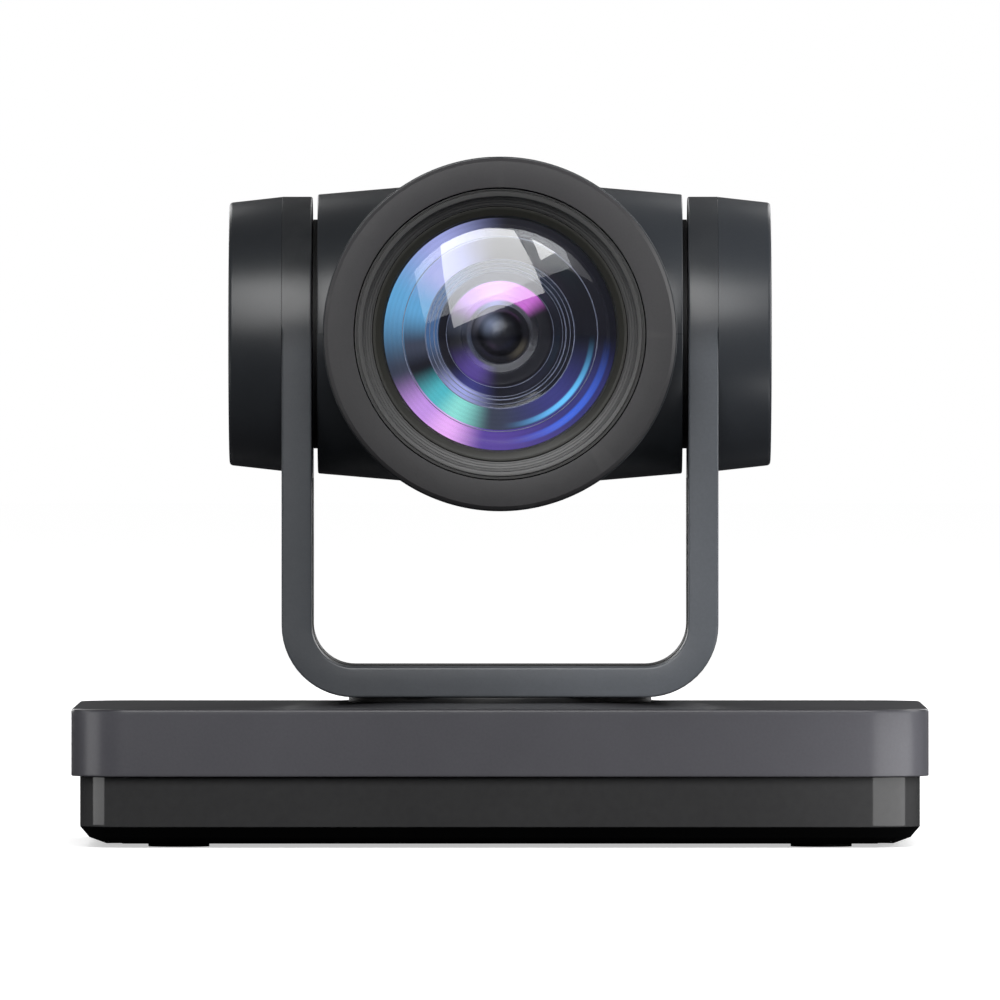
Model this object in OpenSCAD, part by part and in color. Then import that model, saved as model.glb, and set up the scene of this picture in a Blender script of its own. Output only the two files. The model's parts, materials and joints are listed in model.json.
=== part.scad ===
// A pan-tilt-zoom camera: a low base, a turning U-shaped yoke and a tilting head with its zoom lens.
// Millimetres, +Z up, the lens faces -Y, the origin is under the centre of the base.

/* [Base] */
// Width of the base cover
base_w = 224; // [180:1:280]
// Depth of the base cover
base_d = 150; // [120:1:190]
// Corner radius of the base cover
base_corner_r = 16; // [8:0.5:24]
// Height of the painted cover
cover_h = 17.6; // [16:0.1:26]
// Height of the glossy band under the cover
band_h = 13.2; // [12:0.1:20]
// How far the band stands back from the cover
band_inset = 2.3; // [1:0.1:4]
// Height of the rounded lower edge of the tray
tray_edge_h = 4.4; // [3:0.1:7]
// How far the lower edge of the tray runs in
tray_edge_in = 6.8; // [3:0.1:10]
// How far the rubber feet stand out below
foot_out = 1; // [0.6:0.1:3]

/* [Yoke] */
// Clear width between the yoke arms
yoke_gap_w = 98.8; // [80:0.2:125]
// Thickness of the yoke arms and of the bar
arm_t = 7.9; // [7:0.1:11]
// Depth of the yoke arms from front to back
arm_d = 72.4; // [60:0.2:90]
// Inner corner radius of the yoke
yoke_inner_r = 11; // [6:0.5:16]
// Length of each drum cap outside its arm
drum_len = 14; // [12:0.1:20]
// Radius of the drum cap at its outer end
drum_end_r = 34.6; // [28:0.1:42]
// Space kept between the swinging head and the yoke bar
swing_gap = 9.5; // [4:0.1:25]

/* [Head] */
// Side gap between the head and each arm
side_gap = 1.4; // [0.8:0.1:3]
// Radius of the head barrel in its middle
barrel_mid_r = 39.8; // [36:0.1:46]
// Radius of the head barrel at its ends
barrel_end_r = 36.8; // [34:0.1:42]
// Outer radius of the lens tube
tube_r = 46.35; // [42:0.05:56]
// Distance from the tilt axis to the front of the lens
tube_front = 62; // [56:0.5:76]
// Wall of the head shells
shell_t = 2.2; // [1.5:0.1:3]

/* [Lens] */
// Radius of the front glass
glass_r = 30.5; // [25:0.1:33]
// How far the front glass bulges
glass_bulge = 7; // [4:0.1:9]
// Radius of the guide rods
rod_r = 1; // [0.8:0.05:1.2]

/* [Drives] */
// Teeth on the pan gear
pan_gear_teeth = 72; // [60:1:86]
// Teeth on the pan pinion
pan_pinion_teeth = 14; // [12:1:18]
// Teeth on the tilt gear
tilt_gear_teeth = 40; // [34:1:48]
// Teeth on the tilt pinion
tilt_pinion_teeth = 12; // [12:1:15]
// Radius of the hollow pan shaft
pan_shaft_r = 10; // [8:0.1:12]
// Radius of the hollow tilt trunnions
trunnion_r = 8; // [6:0.1:9.5]

/* [Hidden] */
$fn = 96;

// small lengths used to run a cut past a face
e = 0.5;
sheet = 2;
board_t = 1.6;
run_gap = 0.05;
fit_gap = 0.15;

// heights in the base
tray_z = foot_out;
tray_floor = 1.6;
tray_top = tray_z + tray_edge_h;
floor_z = tray_z + tray_floor;
band_top = tray_top + band_h;
cover_top = band_top + cover_h;
cover_in_z = cover_top - sheet;
lip_h = 2.6;
band_t = 2.4;
band_w = base_w - 2 * band_inset;
band_d = base_d - 2 * band_inset;
band_corner_r = base_corner_r - band_inset;
edge_fillet = 0.6;
plinth_h = 1;
plinth_r = 60;
plinth_top_r = 44;
cover_hole_r = 40.5;

// turntable, hub and yoke bar
turntable_r = 39.9;
turntable_t = 1.7;
yoke_z = cover_top + 2.5;
turntable_z = yoke_z - turntable_t;
bar_top = yoke_z + arm_t;
yoke_half = yoke_gap_w / 2;
yoke_out = yoke_half + arm_t;
arm_r = arm_d / 2;

// tilt axis: the swinging front edge of the lens clears the bar
swing_r = norm([tube_front, tube_r]);
axis_z = ceil(bar_top + swing_r + swing_gap);

// feet and tray screws
foot_r = 8;
foot_seat = 0.8;
foot_x = base_w / 2 - 28;
foot_y = base_d / 2 - 24;
post_x = base_w / 2 - 12;
post_y = base_d / 2 - 12;
post_r = 3.6;
m3_r = 1.5;
m3_head_r = 2.8;
m3_head_h = 1.8;
bracket_pitch = 56;
bracket_hole_r = 1.65;
bracket_boss_r = 4;
bracket_boss_h = 4.2;
insert_r = 6;
insert_flange_r = 8.5;
insert_h = 9;
insert_bore_r = 2.6;

// main board and sockets
board_z = floor_z + 4.6;
board_y0 = 22;
board_edge_gap = 0.4;
board_y1 = band_d / 2 - tray_edge_in - board_edge_gap;
board_half_x = base_w / 2 - 22;
edge_bend = 0.36;
board_top = board_z + board_t;
panel_half = base_w / 2 - 34;
panel_y = band_d / 2 - band_t;
panel_z0 = tray_top + 1.2;
panel_z1 = cover_in_z - 3.4;
panel_rim = 2.2;
spread = panel_half / 78;
dc_x = -58 * spread;
serial_x = [-43 * spread, -25 * spread];
audio_x = [-11 * spread, 0];
usb_x = 14 * spread;
hdmi_x = 33 * spread;
lan_x = 54 * spread;
panel_lap = 1;
ir_board_half = 26;
ir_board_y = -band_d / 2 + band_t + 5;
socket_out = 0.8;
socket_front = panel_y + socket_out;
socket_gap = 0.25;
dc_size = [9, 14, 11];
dc_bore_r = 3;
dc_pin_r = 1.05;
serial_r = 6.4;
serial_core_r = 4.5;
audio_size = [7, 14, 7];
audio_bore_r = 1.8;
usb_size = [14.4, 15, 7];
hdmi_size = [15, 12, 6.2];
lan_size = [16, 21, 13.5];
// Hollows of the sockets: width, depth, then lowest and highest edge above the board
hdmi_mouth = [14, 9, 0.7, 5.3];
hdmi_tongue = [11, 10, 2.5, 3.5];
usb_mouth = [12.5, 12, 1, 6.1];
usb_tongue = [11, 13, 3.9, 5.7];
lan_mouth = [11.8, 14, 4.2, 10.9];
lan_latch = [6.2, 12, 2.2, 4.5];
tongue_back = 1.5;

// pan frame, bearing and drive
frame_z = cover_in_z - 9.7;
frame_top = frame_z + sheet;
race_out_r = pan_shaft_r + 6;
race_out_in_r = race_out_r - 1.8;
race_in_out_r = pan_shaft_r + 1.8;
ball_ring_r = (race_out_r + pan_shaft_r) / 2;
ball_r = 1.75;
ball_count = 12;
race_h = 7;
race_z = frame_top - 4 - race_h;
frame_boss_r = race_out_r + 3;
frame_neck_r = pan_shaft_r + 3;
frame_post_y = 14;
frame_post_x = [-64, 46];
pan_module = 1;
pan_addendum = 0.8;
pan_gear_r = pan_module * pan_gear_teeth / 2;
pan_pinion_r = pan_module * pan_pinion_teeth / 2;
pan_centre = pan_gear_r + pan_pinion_r;
pan_gear_z = frame_top + 1;
pan_gear_h = 4;
pan_gear_bore = pan_shaft_r + 3;
hub_flange_r = 22;
hub_flange_z = pan_gear_z + pan_gear_h;
cable_r = 6;
nut_h = 3;
pan_motor_r = 17.5;
motor_shaft_r = 1.5;
hub_screw_xy = [9, 16];
hub_screw_head = 3;

// tilt drive inside the drums
arm_wall = 2;
pocket_r = 33;
pocket_x = yoke_half + arm_wall;
boss_r = 12;
boss_x = pocket_x + 2.6;
bush_r = trunnion_r + 1.6;
bush_flange_r = trunnion_r + 3.4;
bush_flange_t = 0.8;
stud_r = 2.5;
stud_at = 27.5;
stud_angles = [90, 210, 330];
stud_end = yoke_half + 10;
bracket_t = 1.2;
bracket_r = 31;
tilt_module = 0.7;
tilt_addendum = 0.75;
tilt_gear_r = tilt_module * tilt_gear_teeth / 2;
tilt_pinion_r = tilt_module * tilt_pinion_teeth / 2;
tilt_centre = tilt_gear_r + tilt_pinion_r;
tilt_gear_x = boss_x + bush_flange_t + 0.4;
tilt_gear_h = 4;
trunnion_end = stud_end + 0.8;
tilt_motor_r = 12.5;
tilt_motor_h = 8.4;
tilt_shaft_r = 1;
drum_root_r = arm_r - 0.2;
drum_wall = 2;
drum_x1 = yoke_out + drum_len;
channel_depth = arm_t - 2;
channel_half = 12;
liner_t = 1.5;
liner_top = axis_z - 38;
cable_half = 8;

// head
barrel_half = yoke_half - side_gap;
barrel_knee_x = barrel_half * 0.55;
crown_x = 5;
barrel_knee_r = barrel_end_r + (barrel_mid_r - barrel_end_r) * 0.68;
end_wall = 2;
frame_x = barrel_half - end_wall;
head_frame_r = barrel_end_r - 3.8;
deck_z = 27;
deck_t = 2.2;
deck_y = 14;
trunnion_flange_r = 30.2;
trunnion_flange_t = side_gap - 0.2;
spigot_r = trunnion_r + 3.9;
tube_edge = tube_front - 3.5;
cone_front = 26;
cone_back = -8;
trunnion_screw_at = 22;
m2_r = 1.1;
m2_head_r = 2.2;
shell_post_x = barrel_half - 11;
shell_post_y = 20;
shell_post_r = 3.6;
shell_post_z = 27;

// lens, measured forward of the tilt axis
bezel_in_r = glass_r + 7.75;
bezel_out_r = tube_r - 0.4;
trim_in_r = glass_r + 2.95;
ring_out_r = glass_r + 2.8;
glass_front = tube_front - 10;
glass_back = glass_front - 4.5;
glass_edge_r = glass_r - 0.05;
glass_sphere_r = (glass_edge_r * glass_edge_r + glass_bulge * glass_bulge) / (2 * glass_bulge);
glass_hollow_r = 89;
barrel_out_r = glass_r + 6.5;
barrel_seat_r = glass_r + 0.1;
bay_out_r = 27;
bay_in_r = 25;
bay_front = 30;
bay_back = -18;
bay_wall = 2;
rod_x = 18;
screw_z = 19;
screw_r = 1.2;
lens_motor_r = 5;
lens_motor_h = 9;
standoff_x = 20;
standoff_y = 12;
standoff_h = 9.4;
zoom_z = 20;
zoom_h = 6;
focus_z = -10;
focus_h = 5;
carrier_r = 15;
zoom_lens_r = 12.3;
focus_lens_r = 9;

// a rectangle with round corners, centred on the origin
module round_rect(w, d, r) {
    square([w - 2 * r, d], center = true);
    square([w, d - 2 * r], center = true);
    for (x = [-1, 1], y = [-1, 1])
        translate([x * (w / 2 - r), y * (d / 2 - r)])
            circle(r = r);
}

module round_slab(w, d, r, z0, z1) {
    translate([0, 0, z0])
        linear_extrude(z1 - z0)
            round_rect(w, d, r);
}

// a box given by its two corners
module block(low, high) {
    translate(low)
        cube(high - low);
}

// the four corners of a rectangle
module at_corners(x, y) {
    for (sx = [-1, 1], sy = [-1, 1])
        translate([sx * x, sy * y, 0])
            children();
}

// local +Z runs forward along the lens from the tilt axis
module forward() {
    translate([0, 0, axis_z])
        rotate([90, 0, 0])
            children();
}

// local +Z runs to +X from the tilt axis, local +X points down
module sideways() {
    translate([0, 0, axis_z])
        rotate([0, 90, 0])
            children();
}

module disc(r, x0, x1) {
    translate([0, 0, x0])
        cylinder(r = r, h = x1 - x0);
}

module at_studs() {
    for (a = stud_angles)
        rotate([0, 0, 180 - a])
            translate([stud_at, 0, 0])
                children();
}

// an involute gear outline: half tooth angle at a radius, then the points round it
function involute(r, rb) = r <= rb ? 0 : sqrt(pow(r / rb, 2) - 1) * 180 / PI - acos(rb / r);
function half_angle(r, m, n, slack) =
    90 / n - slack / (m * n) * 180 / PI + involute(m * n / 2, m * n / 2 * cos(20))
    - involute(r, m * n / 2 * cos(20));
function polar(r, a) = [r * cos(a), r * sin(a)];
function tooth_radii(m, n, tip) =
    [for (k = [0:3]) max(m * n / 2 * cos(20), m * n / 2 - m) * (1 - k / 3) + (m * n / 2 + m * tip) * k / 3];
function tooth(m, n, tip, slack, a) = concat(
    [polar(m * n / 2 - 1.1 * m, a - half_angle(m * n / 2 * cos(20), m, n, slack))],
    [for (r = tooth_radii(m, n, tip)) polar(r, a - half_angle(r, m, n, slack))],
    [for (k = [3:-1:0]) polar(tooth_radii(m, n, tip)[k],
        a + half_angle(tooth_radii(m, n, tip)[k], m, n, slack))],
    [polar(m * n / 2 - 1.1 * m, a + half_angle(m * n / 2 * cos(20), m, n, slack))]);

module gear_outline(m, n, tip, slack) {
    polygon([for (k = [0:n - 1]) each tooth(m, n, tip, slack, k * 360 / n)]);
}

// ---------------------------------------------------------------- base

module cover_top_cut() {
    translate([0, 0, cover_in_z - e])
        cylinder(r = cover_hole_r, h = sheet + plinth_h + 2 * e);
}

module rear_window(y0, y1) {
    block([-panel_half + panel_rim, y0, panel_z0 + panel_rim],
        [panel_half - panel_rim, y1, panel_z1 - panel_rim]);
}

module base_cover() {
    color([0.27, 0.28, 0.3])
    difference() {
        union() {
            difference() {
                union() {
                    round_slab(base_w, base_d, base_corner_r, band_top, cover_top - edge_fillet);
                    round_slab(base_w - edge_fillet, base_d - edge_fillet,
                        base_corner_r - edge_fillet / 2, cover_top - 2 * edge_fillet, cover_top);
                    translate([0, 0, cover_top - e])
                        cylinder(r1 = plinth_r, r2 = plinth_top_r, h = plinth_h + e);
                }
                round_slab(base_w - 2 * sheet, base_d - 2 * sheet, base_corner_r - sheet,
                    band_top - e, cover_in_z);
            }
            at_corners(post_x, post_y)
                translate([0, 0, band_top - 5])
                    cylinder(r = post_r, h = cover_in_z + e - band_top + 5);
            block([-panel_half, panel_y, panel_z1 - panel_rim],
                [panel_half, base_d / 2 - e, cover_in_z + e]);
        }
        cover_top_cut();
        rear_window(panel_y - e, base_d);
        at_corners(post_x, post_y)
            translate([0, 0, band_top - 5 - e])
                cylinder(r = m3_r, h = 14);
    }
}

module base_band() {
    color([0.02, 0.02, 0.022])
    difference() {
        round_slab(band_w, band_d, band_corner_r, tray_top, band_top);
        round_slab(band_w - 2 * band_t, band_d - 2 * band_t, band_corner_r - band_t,
            tray_top - e, band_top + e);
        rear_window(panel_y - e, base_d);
    }
}

module base_tray() {
    lip_w = band_w - 2 * band_t - 2 * fit_gap;
    lip_d = band_d - 2 * band_t - 2 * fit_gap;
    lip_r = band_corner_r - band_t - fit_gap;
    color([0.05, 0.05, 0.055])
    difference() {
        union() {
            difference() {
                union() {
                    corner = band_corner_r;
                    lx = band_w / 2 - corner;
                    ly = band_d / 2 - corner;
                    edge = [[corner - tray_edge_in, tray_z],
                        [corner - tray_edge_in * edge_bend, tray_z + tray_edge_h * edge_bend],
                        [corner, tray_top]];
                    at_corners(lx, ly)
                        rotate_extrude()
                            polygon(concat([[0, tray_z]], edge, [[0, tray_top]]));
                    translate([0, ly, 0])
                        rotate([90, 0, 0])
                            linear_extrude(2 * ly)
                                polygon(concat([for (p = edge) [lx + p[0], p[1]]],
                                    [for (k = [2:-1:0]) [-lx - edge[k][0], edge[k][1]]]));
                    translate([-lx, 0, 0])
                        rotate([90, 0, 90])
                            linear_extrude(2 * lx)
                                polygon(concat([for (p = edge) [ly + p[0], p[1]]],
                                    [for (k = [2:-1:0]) [-ly - edge[k][0], edge[k][1]]]));
                    round_slab(lip_w, lip_d, lip_r, tray_top - e, tray_top + lip_h);
                }
                round_slab(band_w - 2 * tray_edge_in, band_d - 2 * tray_edge_in, band_corner_r - tray_edge_in,
                    floor_z, tray_top + lip_h + e);
            }
            at_corners(post_x, post_y)
                block([-post_r, -post_r, floor_z - e], [post_r, post_r, band_top - 5 - fit_gap]);
            at_corners(bracket_pitch / 2, bracket_pitch / 2)
                translate([0, 0, floor_z - e])
                    cylinder(r = bracket_boss_r, h = bracket_boss_h + e);
            for (x = [-board_half_x + 5, board_half_x - 5], y = [board_y0 + 5, board_y1 - 5])
                translate([x, y, floor_z - e])
                    cylinder(r = 3, h = board_z - floor_z + e);
            for (x = frame_post_x, y = [-frame_post_y, frame_post_y])
                translate([x, y, floor_z - e])
                    cylinder(r = 4, h = frame_z - floor_z + e);
        }
        at_corners(foot_x, foot_y)
            translate([0, 0, tray_z - e])
                cylinder(r = foot_r + fit_gap, h = foot_seat + e);
        at_corners(post_x, post_y) {
            translate([0, 0, tray_z - e])
                cylinder(r = m3_r + 2 * fit_gap, h = band_top);
            translate([0, 0, tray_z - e])
                cylinder(r = m3_head_r + fit_gap, h = m3_head_h + 0.6 + e);
        }
        at_corners(bracket_pitch / 2, bracket_pitch / 2)
            translate([0, 0, tray_z - e])
                cylinder(r = bracket_hole_r, h = tray_floor + bracket_boss_h + 2 * e);
        translate([0, 0, tray_z - e])
            cylinder(r = insert_r, h = tray_floor + 2 * e);
        for (x = [-board_half_x + 5, board_half_x - 5], y = [board_y0 + 5, board_y1 - 5])
            translate([x, y, floor_z])
                cylinder(r = m2_r, h = board_z);
        for (x = frame_post_x, y = [-frame_post_y, frame_post_y])
            translate([x, y, frame_z - 9])
                cylinder(r = m3_r, h = 10);
    }
}

module feet() {
    color([0.07, 0.07, 0.07])
    at_corners(foot_x, foot_y)
        difference() {
            cylinder(r = foot_r, h = foot_out + foot_seat);
            translate([0, 0, -e])
                cylinder(r = foot_r / 3, h = e + foot_out / 2);
        }
}

module tripod_insert() {
    color([0.72, 0.58, 0.3])
    difference() {
        union() {
            translate([0, 0, tray_z])
                cylinder(r = insert_r, h = insert_h);
            translate([0, 0, floor_z])
                cylinder(r = insert_flange_r, h = sheet);
        }
        translate([0, 0, tray_z - e])
            cylinder(r = insert_bore_r, h = insert_h + 2 * e);
    }
}

module pan_screw(r, head_r, head_h, length) {
    difference() {
        union() {
            cylinder(r = head_r, h = head_h);
            translate([0, 0, -length])
                cylinder(r = r, h = length + e);
        }
        translate([0, 0, head_h / 2])
            cylinder(r = head_r / 2, h = head_h, $fn = 6);
    }
}

module base_screws() {
    color([0.55, 0.55, 0.57]) {
        at_corners(post_x, post_y)
            translate([0, 0, tray_z + m3_head_h + 0.6])
                rotate([180, 0, 0])
                    pan_screw(m3_r, m3_head_r, m3_head_h, 20);
        for (x = frame_post_x, y = [-frame_post_y, frame_post_y])
            translate([x, y, frame_top])
                pan_screw(m3_r, m3_head_r, m3_head_h, 8);
        for (x = [-board_half_x + 5, board_half_x - 5], y = [board_y0 + 5, board_y1 - 5])
            translate([x, y, board_top])
                pan_screw(m2_r, m2_head_r, m3_head_h, 5);
    }
}

// straight socket openings, grown by a gap for the panel's holes
module socket_holes(g) {
    z = board_top;
    y0 = panel_y - 2 * sheet;
    y1 = base_d;
    for (s = [[dc_x, dc_size], [usb_x, usb_size], [hdmi_x, hdmi_size], [lan_x, lan_size]])
        block([s[0] - s[1][0] / 2 - g, y0, z - g], [s[0] + s[1][0] / 2 + g, y1, z + s[1][2] + g]);
    for (x = serial_x)
        translate([x, y0, z + serial_r])
            rotate([-90, 0, 0])
                cylinder(r = serial_r + g, h = y1 - y0);
    for (x = audio_x)
        translate([x, y0, z + audio_size[2] / 2])
            rotate([-90, 0, 0])
                cylinder(r = audio_size[0] / 2 - 0.5 + g, h = y1 - y0);
}

module rear_panel() {
    color([0.09, 0.09, 0.1])
    difference() {
        block([-panel_half, panel_y - sheet, tray_top + lip_h + fit_gap],
            [panel_half, panel_y, panel_z1 + panel_lap]);
        socket_holes(socket_gap);
    }
}

module main_board() {
    color([0.05, 0.24, 0.13])
    difference() {
        block([-board_half_x, board_y0, board_z], [board_half_x, board_y1, board_top]);
        for (x = [-board_half_x + 5, board_half_x - 5], y = [board_y0 + 5, board_y1 - 5])
            translate([x, y, board_z - e])
                cylinder(r = m2_r + fit_gap, h = board_t + 2 * e);
    }
}

module board_chips() {
    color([0.1, 0.1, 0.11]) {
        for (c = [[-66, 32, 16, 3], [-38, 30, 9, 1.6], [14, 32, 12, 1.6], [40, 31, 7, 1.2], [62, 32, 10, 4]])
            translate([c[0] * spread - c[2] / 2, c[1] - c[2] / 2, board_top])
                cube([c[2], c[2], c[3]]);
        for (x = [-52, -8, 28])
            translate([x * spread, 31, board_top])
                cylinder(r = 3.2, h = 8);
    }
}

module socket_body(x, size) {
    block([x - size[0] / 2, socket_front - size[1], board_top],
        [x + size[0] / 2, socket_front, board_top + size[2]]);
}

module mouth(x, size, back = -e) {
    block([x - size[0] / 2, socket_front - size[1], board_top + size[2]],
        [x + size[0] / 2, socket_front - back, board_top + size[3]]);
}

module dc_jack() {
    color([0.06, 0.06, 0.06])
    union() {
        difference() {
            socket_body(dc_x, dc_size);
            translate([dc_x, socket_front - 9, board_top + dc_size[2] / 2])
                rotate([-90, 0, 0])
                    cylinder(r = dc_bore_r, h = 10);
        }
        translate([dc_x, socket_front - 10, board_top + dc_size[2] / 2])
            rotate([-90, 0, 0])
                cylinder(r = dc_pin_r, h = 9.4);
    }
}

module hdmi_port() {
    color([0.62, 0.62, 0.64])
    difference() {
        socket_body(hdmi_x, hdmi_size);
        difference() {
            mouth(hdmi_x, hdmi_mouth);
            mouth(hdmi_x, hdmi_tongue, tongue_back);
        }
    }
}

module usb_port() {
    color([0.62, 0.62, 0.64])
    difference() {
        socket_body(usb_x, usb_size);
        difference() {
            mouth(usb_x, usb_mouth);
            mouth(usb_x, usb_tongue, tongue_back);
        }
    }
}

module lan_port() {
    color([0.62, 0.62, 0.64])
    difference() {
        socket_body(lan_x, lan_size);
        mouth(lan_x, lan_mouth);
        mouth(lan_x, lan_latch);
    }
}

module audio_jacks() {
    color([0.12, 0.3, 0.16])
    for (x = audio_x)
        difference() {
            union() {
                block([x - audio_size[0] / 2, panel_y - sheet - audio_size[1], board_top],
                    [x + audio_size[0] / 2, panel_y - sheet - fit_gap, board_top + audio_size[2]]);
                translate([x, panel_y - sheet - 2, board_top + audio_size[2] / 2])
                    rotate([-90, 0, 0])
                        cylinder(r = audio_size[0] / 2 - 0.5, h = sheet + 2 + socket_out);
            }
            translate([x, socket_front - 13, board_top + audio_size[2] / 2])
                rotate([-90, 0, 0])
                    cylinder(r = audio_bore_r, h = 14);
        }
}

module serial_ports() {
    color([0.08, 0.08, 0.09])
    for (x = serial_x)
        translate([x, socket_front, board_top + serial_r])
            difference() {
                union() {
                    rotate([90, 0, 0])
                        cylinder(r = serial_r, h = 9);
                    block([-serial_r, -13, -serial_r], [serial_r, -sheet - socket_out - fit_gap, serial_r]);
                }
                difference() {
                    rotate([90, 0, 0])
                        translate([0, 0, -e])
                            cylinder(r = serial_core_r, h = 6);
                    block([-1, -7, 0.6], [1, -0.8, 2.6]);
                }
            }
}

module indicator_board() {
    color([0.05, 0.24, 0.13])
    difference() {
        block([-ir_board_half, ir_board_y, tray_top + 1], [ir_board_half, ir_board_y + board_t, band_top - 0.4]);
        for (x = [-22, 22])
            translate([x, 0, tray_top + 6.5])
                rotate([90, 0, 0])
                    cylinder(r = m2_r, h = base_d);
    }
}

module indicator_parts() {
    y = -band_d / 2 + band_t + 5;
    color([0.15, 0.05, 0.05]) {
        block([-3.5, y - 4, tray_top + 3], [3.5, y, tray_top + 9.5]);
        for (x = [10, 15])
            translate([x, y, tray_top + 6.5])
                rotate([90, 0, 0])
                    cylinder(r = 1.5, h = 4.4);
    }
}

module pan_frame() {
    color([0.6, 0.61, 0.63])
    difference() {
        union() {
            block([frame_post_x[0] - 6, -20, frame_z], [frame_post_x[1] + 6, 20, frame_top]);
            translate([0, 0, race_z - 1])
                cylinder(r = frame_boss_r, h = frame_top - race_z + 1);
        }
        translate([0, 0, race_z - 1 - e])
            cylinder(r = race_out_r, h = race_h + 1 + e);
        translate([0, 0, race_z])
            cylinder(r = frame_neck_r, h = race_h + 5);
        translate([-pan_centre, 0, frame_z - e])
            cylinder(r = 5, h = sheet + 2 * e);
        for (x = frame_post_x, y = [-frame_post_y, frame_post_y])
            translate([x, y, frame_z - e])
                cylinder(r = m3_r + fit_gap, h = sheet + 2 * e);
    }
}

module race_groove() {
    translate([0, 0, race_z + race_h / 2])
        rotate_extrude()
            translate([ball_ring_r, 0])
                circle(r = ball_r + run_gap);
}

module bearing_outer() {
    color([0.75, 0.75, 0.77])
    difference() {
        translate([0, 0, race_z])
            cylinder(r = race_out_r, h = race_h);
        translate([0, 0, race_z - e])
            cylinder(r = race_out_in_r, h = race_h + 2 * e);
        race_groove();
    }
}

module bearing_inner() {
    color([0.75, 0.75, 0.77])
    difference() {
        translate([0, 0, race_z])
            cylinder(r = race_in_out_r, h = race_h);
        translate([0, 0, race_z - e])
            cylinder(r = pan_shaft_r, h = race_h + 2 * e);
        race_groove();
    }
}

module bearing_balls() {
    color([0.8, 0.8, 0.82])
    for (k = [0:ball_count - 1])
        rotate([0, 0, k * 360 / ball_count])
            translate([ball_ring_r, 0, race_z + race_h / 2])
                sphere(r = ball_r);
}

module pan_motor() {
    color([0.5, 0.5, 0.52])
    translate([-pan_centre, 0, 0])
        difference() {
            union() {
                translate([0, 0, floor_z + 1.5])
                    cylinder(r = pan_motor_r, h = frame_z - floor_z - 1.5);
                block([-pan_motor_r - 3, -5, floor_z + 3], [-pan_motor_r + 2, 5, floor_z + 9]);
            }
            translate([0, 0, frame_z - 6.5])
                cylinder(r = motor_shaft_r + run_gap, h = 7);
        }
}

module pan_pinion() {
    color([0.75, 0.6, 0.3])
    translate([-pan_centre, 0, 0]) {
        translate([0, 0, frame_z - 6])
            cylinder(r = motor_shaft_r, h = pan_gear_z - frame_z + 6 + e);
        translate([0, 0, pan_gear_z - 0.4])
            rotate([0, 0, 180 / pan_pinion_teeth])
                linear_extrude(pan_gear_h + 0.8)
                    gear_outline(pan_module, pan_pinion_teeth, pan_addendum, 0.1);
    }
}

// ---------------------------------------------------------------- yoke

module pan_hub() {
    color([0.7, 0.7, 0.72])
    difference() {
        union() {
            translate([0, 0, race_z - nut_h])
                cylinder(r = pan_shaft_r, h = turntable_z - race_z + nut_h);
            translate([0, 0, race_z + race_h])
                cylinder(r = pan_shaft_r + 2, h = turntable_z - race_z - race_h);
            translate([0, 0, pan_gear_z])
                cylinder(r = pan_gear_bore, h = turntable_z - pan_gear_z);
            translate([0, 0, hub_flange_z])
                cylinder(r = hub_flange_r, h = turntable_z - hub_flange_z);
        }
        translate([0, 0, race_z - nut_h - e])
            cylinder(r = cable_r, h = turntable_z);
        at_corners(hub_screw_xy[0], hub_screw_xy[1]) {
            translate([0, 0, hub_flange_z - e])
                cylinder(r = m3_head_r + fit_gap, h = hub_screw_head + e);
            translate([0, 0, hub_flange_z])
                cylinder(r = m3_r + fit_gap, h = turntable_z);
        }
    }
}

module pan_gear() {
    color([0.85, 0.84, 0.78])
    translate([0, 0, pan_gear_z])
        difference() {
            linear_extrude(pan_gear_h)
                rotate([0, 0, pan_gear_teeth % 2 * 180 / pan_gear_teeth])
                    gear_outline(pan_module, pan_gear_teeth, pan_addendum, 0.1);
            translate([0, 0, -e])
                cylinder(r = pan_gear_bore, h = pan_gear_h + 2 * e);
            for (a = [0:60:300])
                rotate([0, 0, a])
                    translate([(pan_gear_r + hub_flange_r) / 2, 0, -e])
                        cylinder(r = 4, h = pan_gear_h + 2 * e);
        }
}

module hub_nut() {
    color([0.55, 0.55, 0.57])
    difference() {
        translate([0, 0, race_z - nut_h])
            cylinder(r = race_in_out_r, h = nut_h);
        translate([0, 0, race_z - nut_h - e])
            cylinder(r = pan_shaft_r, h = nut_h + 2 * e);
        for (a = [0, 90])
            rotate([0, 0, a])
                block([-race_out_r, -1, race_z - nut_h - e], [race_out_r, 1, race_z - nut_h + 0.8]);
    }
}

module turntable() {
    color([0.05, 0.05, 0.055])
    difference() {
        translate([0, 0, turntable_z])
            cylinder(r = turntable_r, h = turntable_t);
        translate([0, 0, turntable_z - e])
            cylinder(r = cable_r, h = turntable_t + 2 * e);
        at_corners(hub_screw_xy[0], hub_screw_xy[1])
            translate([0, 0, turntable_z - e])
                cylinder(r = m3_r + fit_gap, h = turntable_t + 2 * e);
    }
}

// the outline inside the yoke, grown by d, seen from the front
module yoke_inside(d, top) {
    r = yoke_inner_r + d;
    half = yoke_half + d;
    low = bar_top - d;
    translate([-half, low + r])
        square([2 * half, top - low - r]);
    translate([-half + r, low])
        square([2 * half - 2 * r, r + e]);
    for (x = [-1, 1])
        translate([x * (half - r), low + r])
            circle(r = r);
}

// a U-shaped strip between two depths into the yoke, extruded over its depth
module yoke_strip(d0, d1, half_depth, top) {
    translate([0, half_depth, 0])
        rotate([90, 0, 0])
            linear_extrude(2 * half_depth)
                difference() {
                    yoke_inside(d1, top);
                    yoke_inside(d0, top + e);
                }
}

module yoke_side(r) {
    translate([-base_w / 2, 0, 0])
        rotate([90, 0, 90])
            linear_extrude(base_w)
                union() {
                    translate([0, axis_z])
                        circle(r = r);
                    translate([-r, 0])
                        square([2 * r, axis_z]);
                }
}

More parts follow.
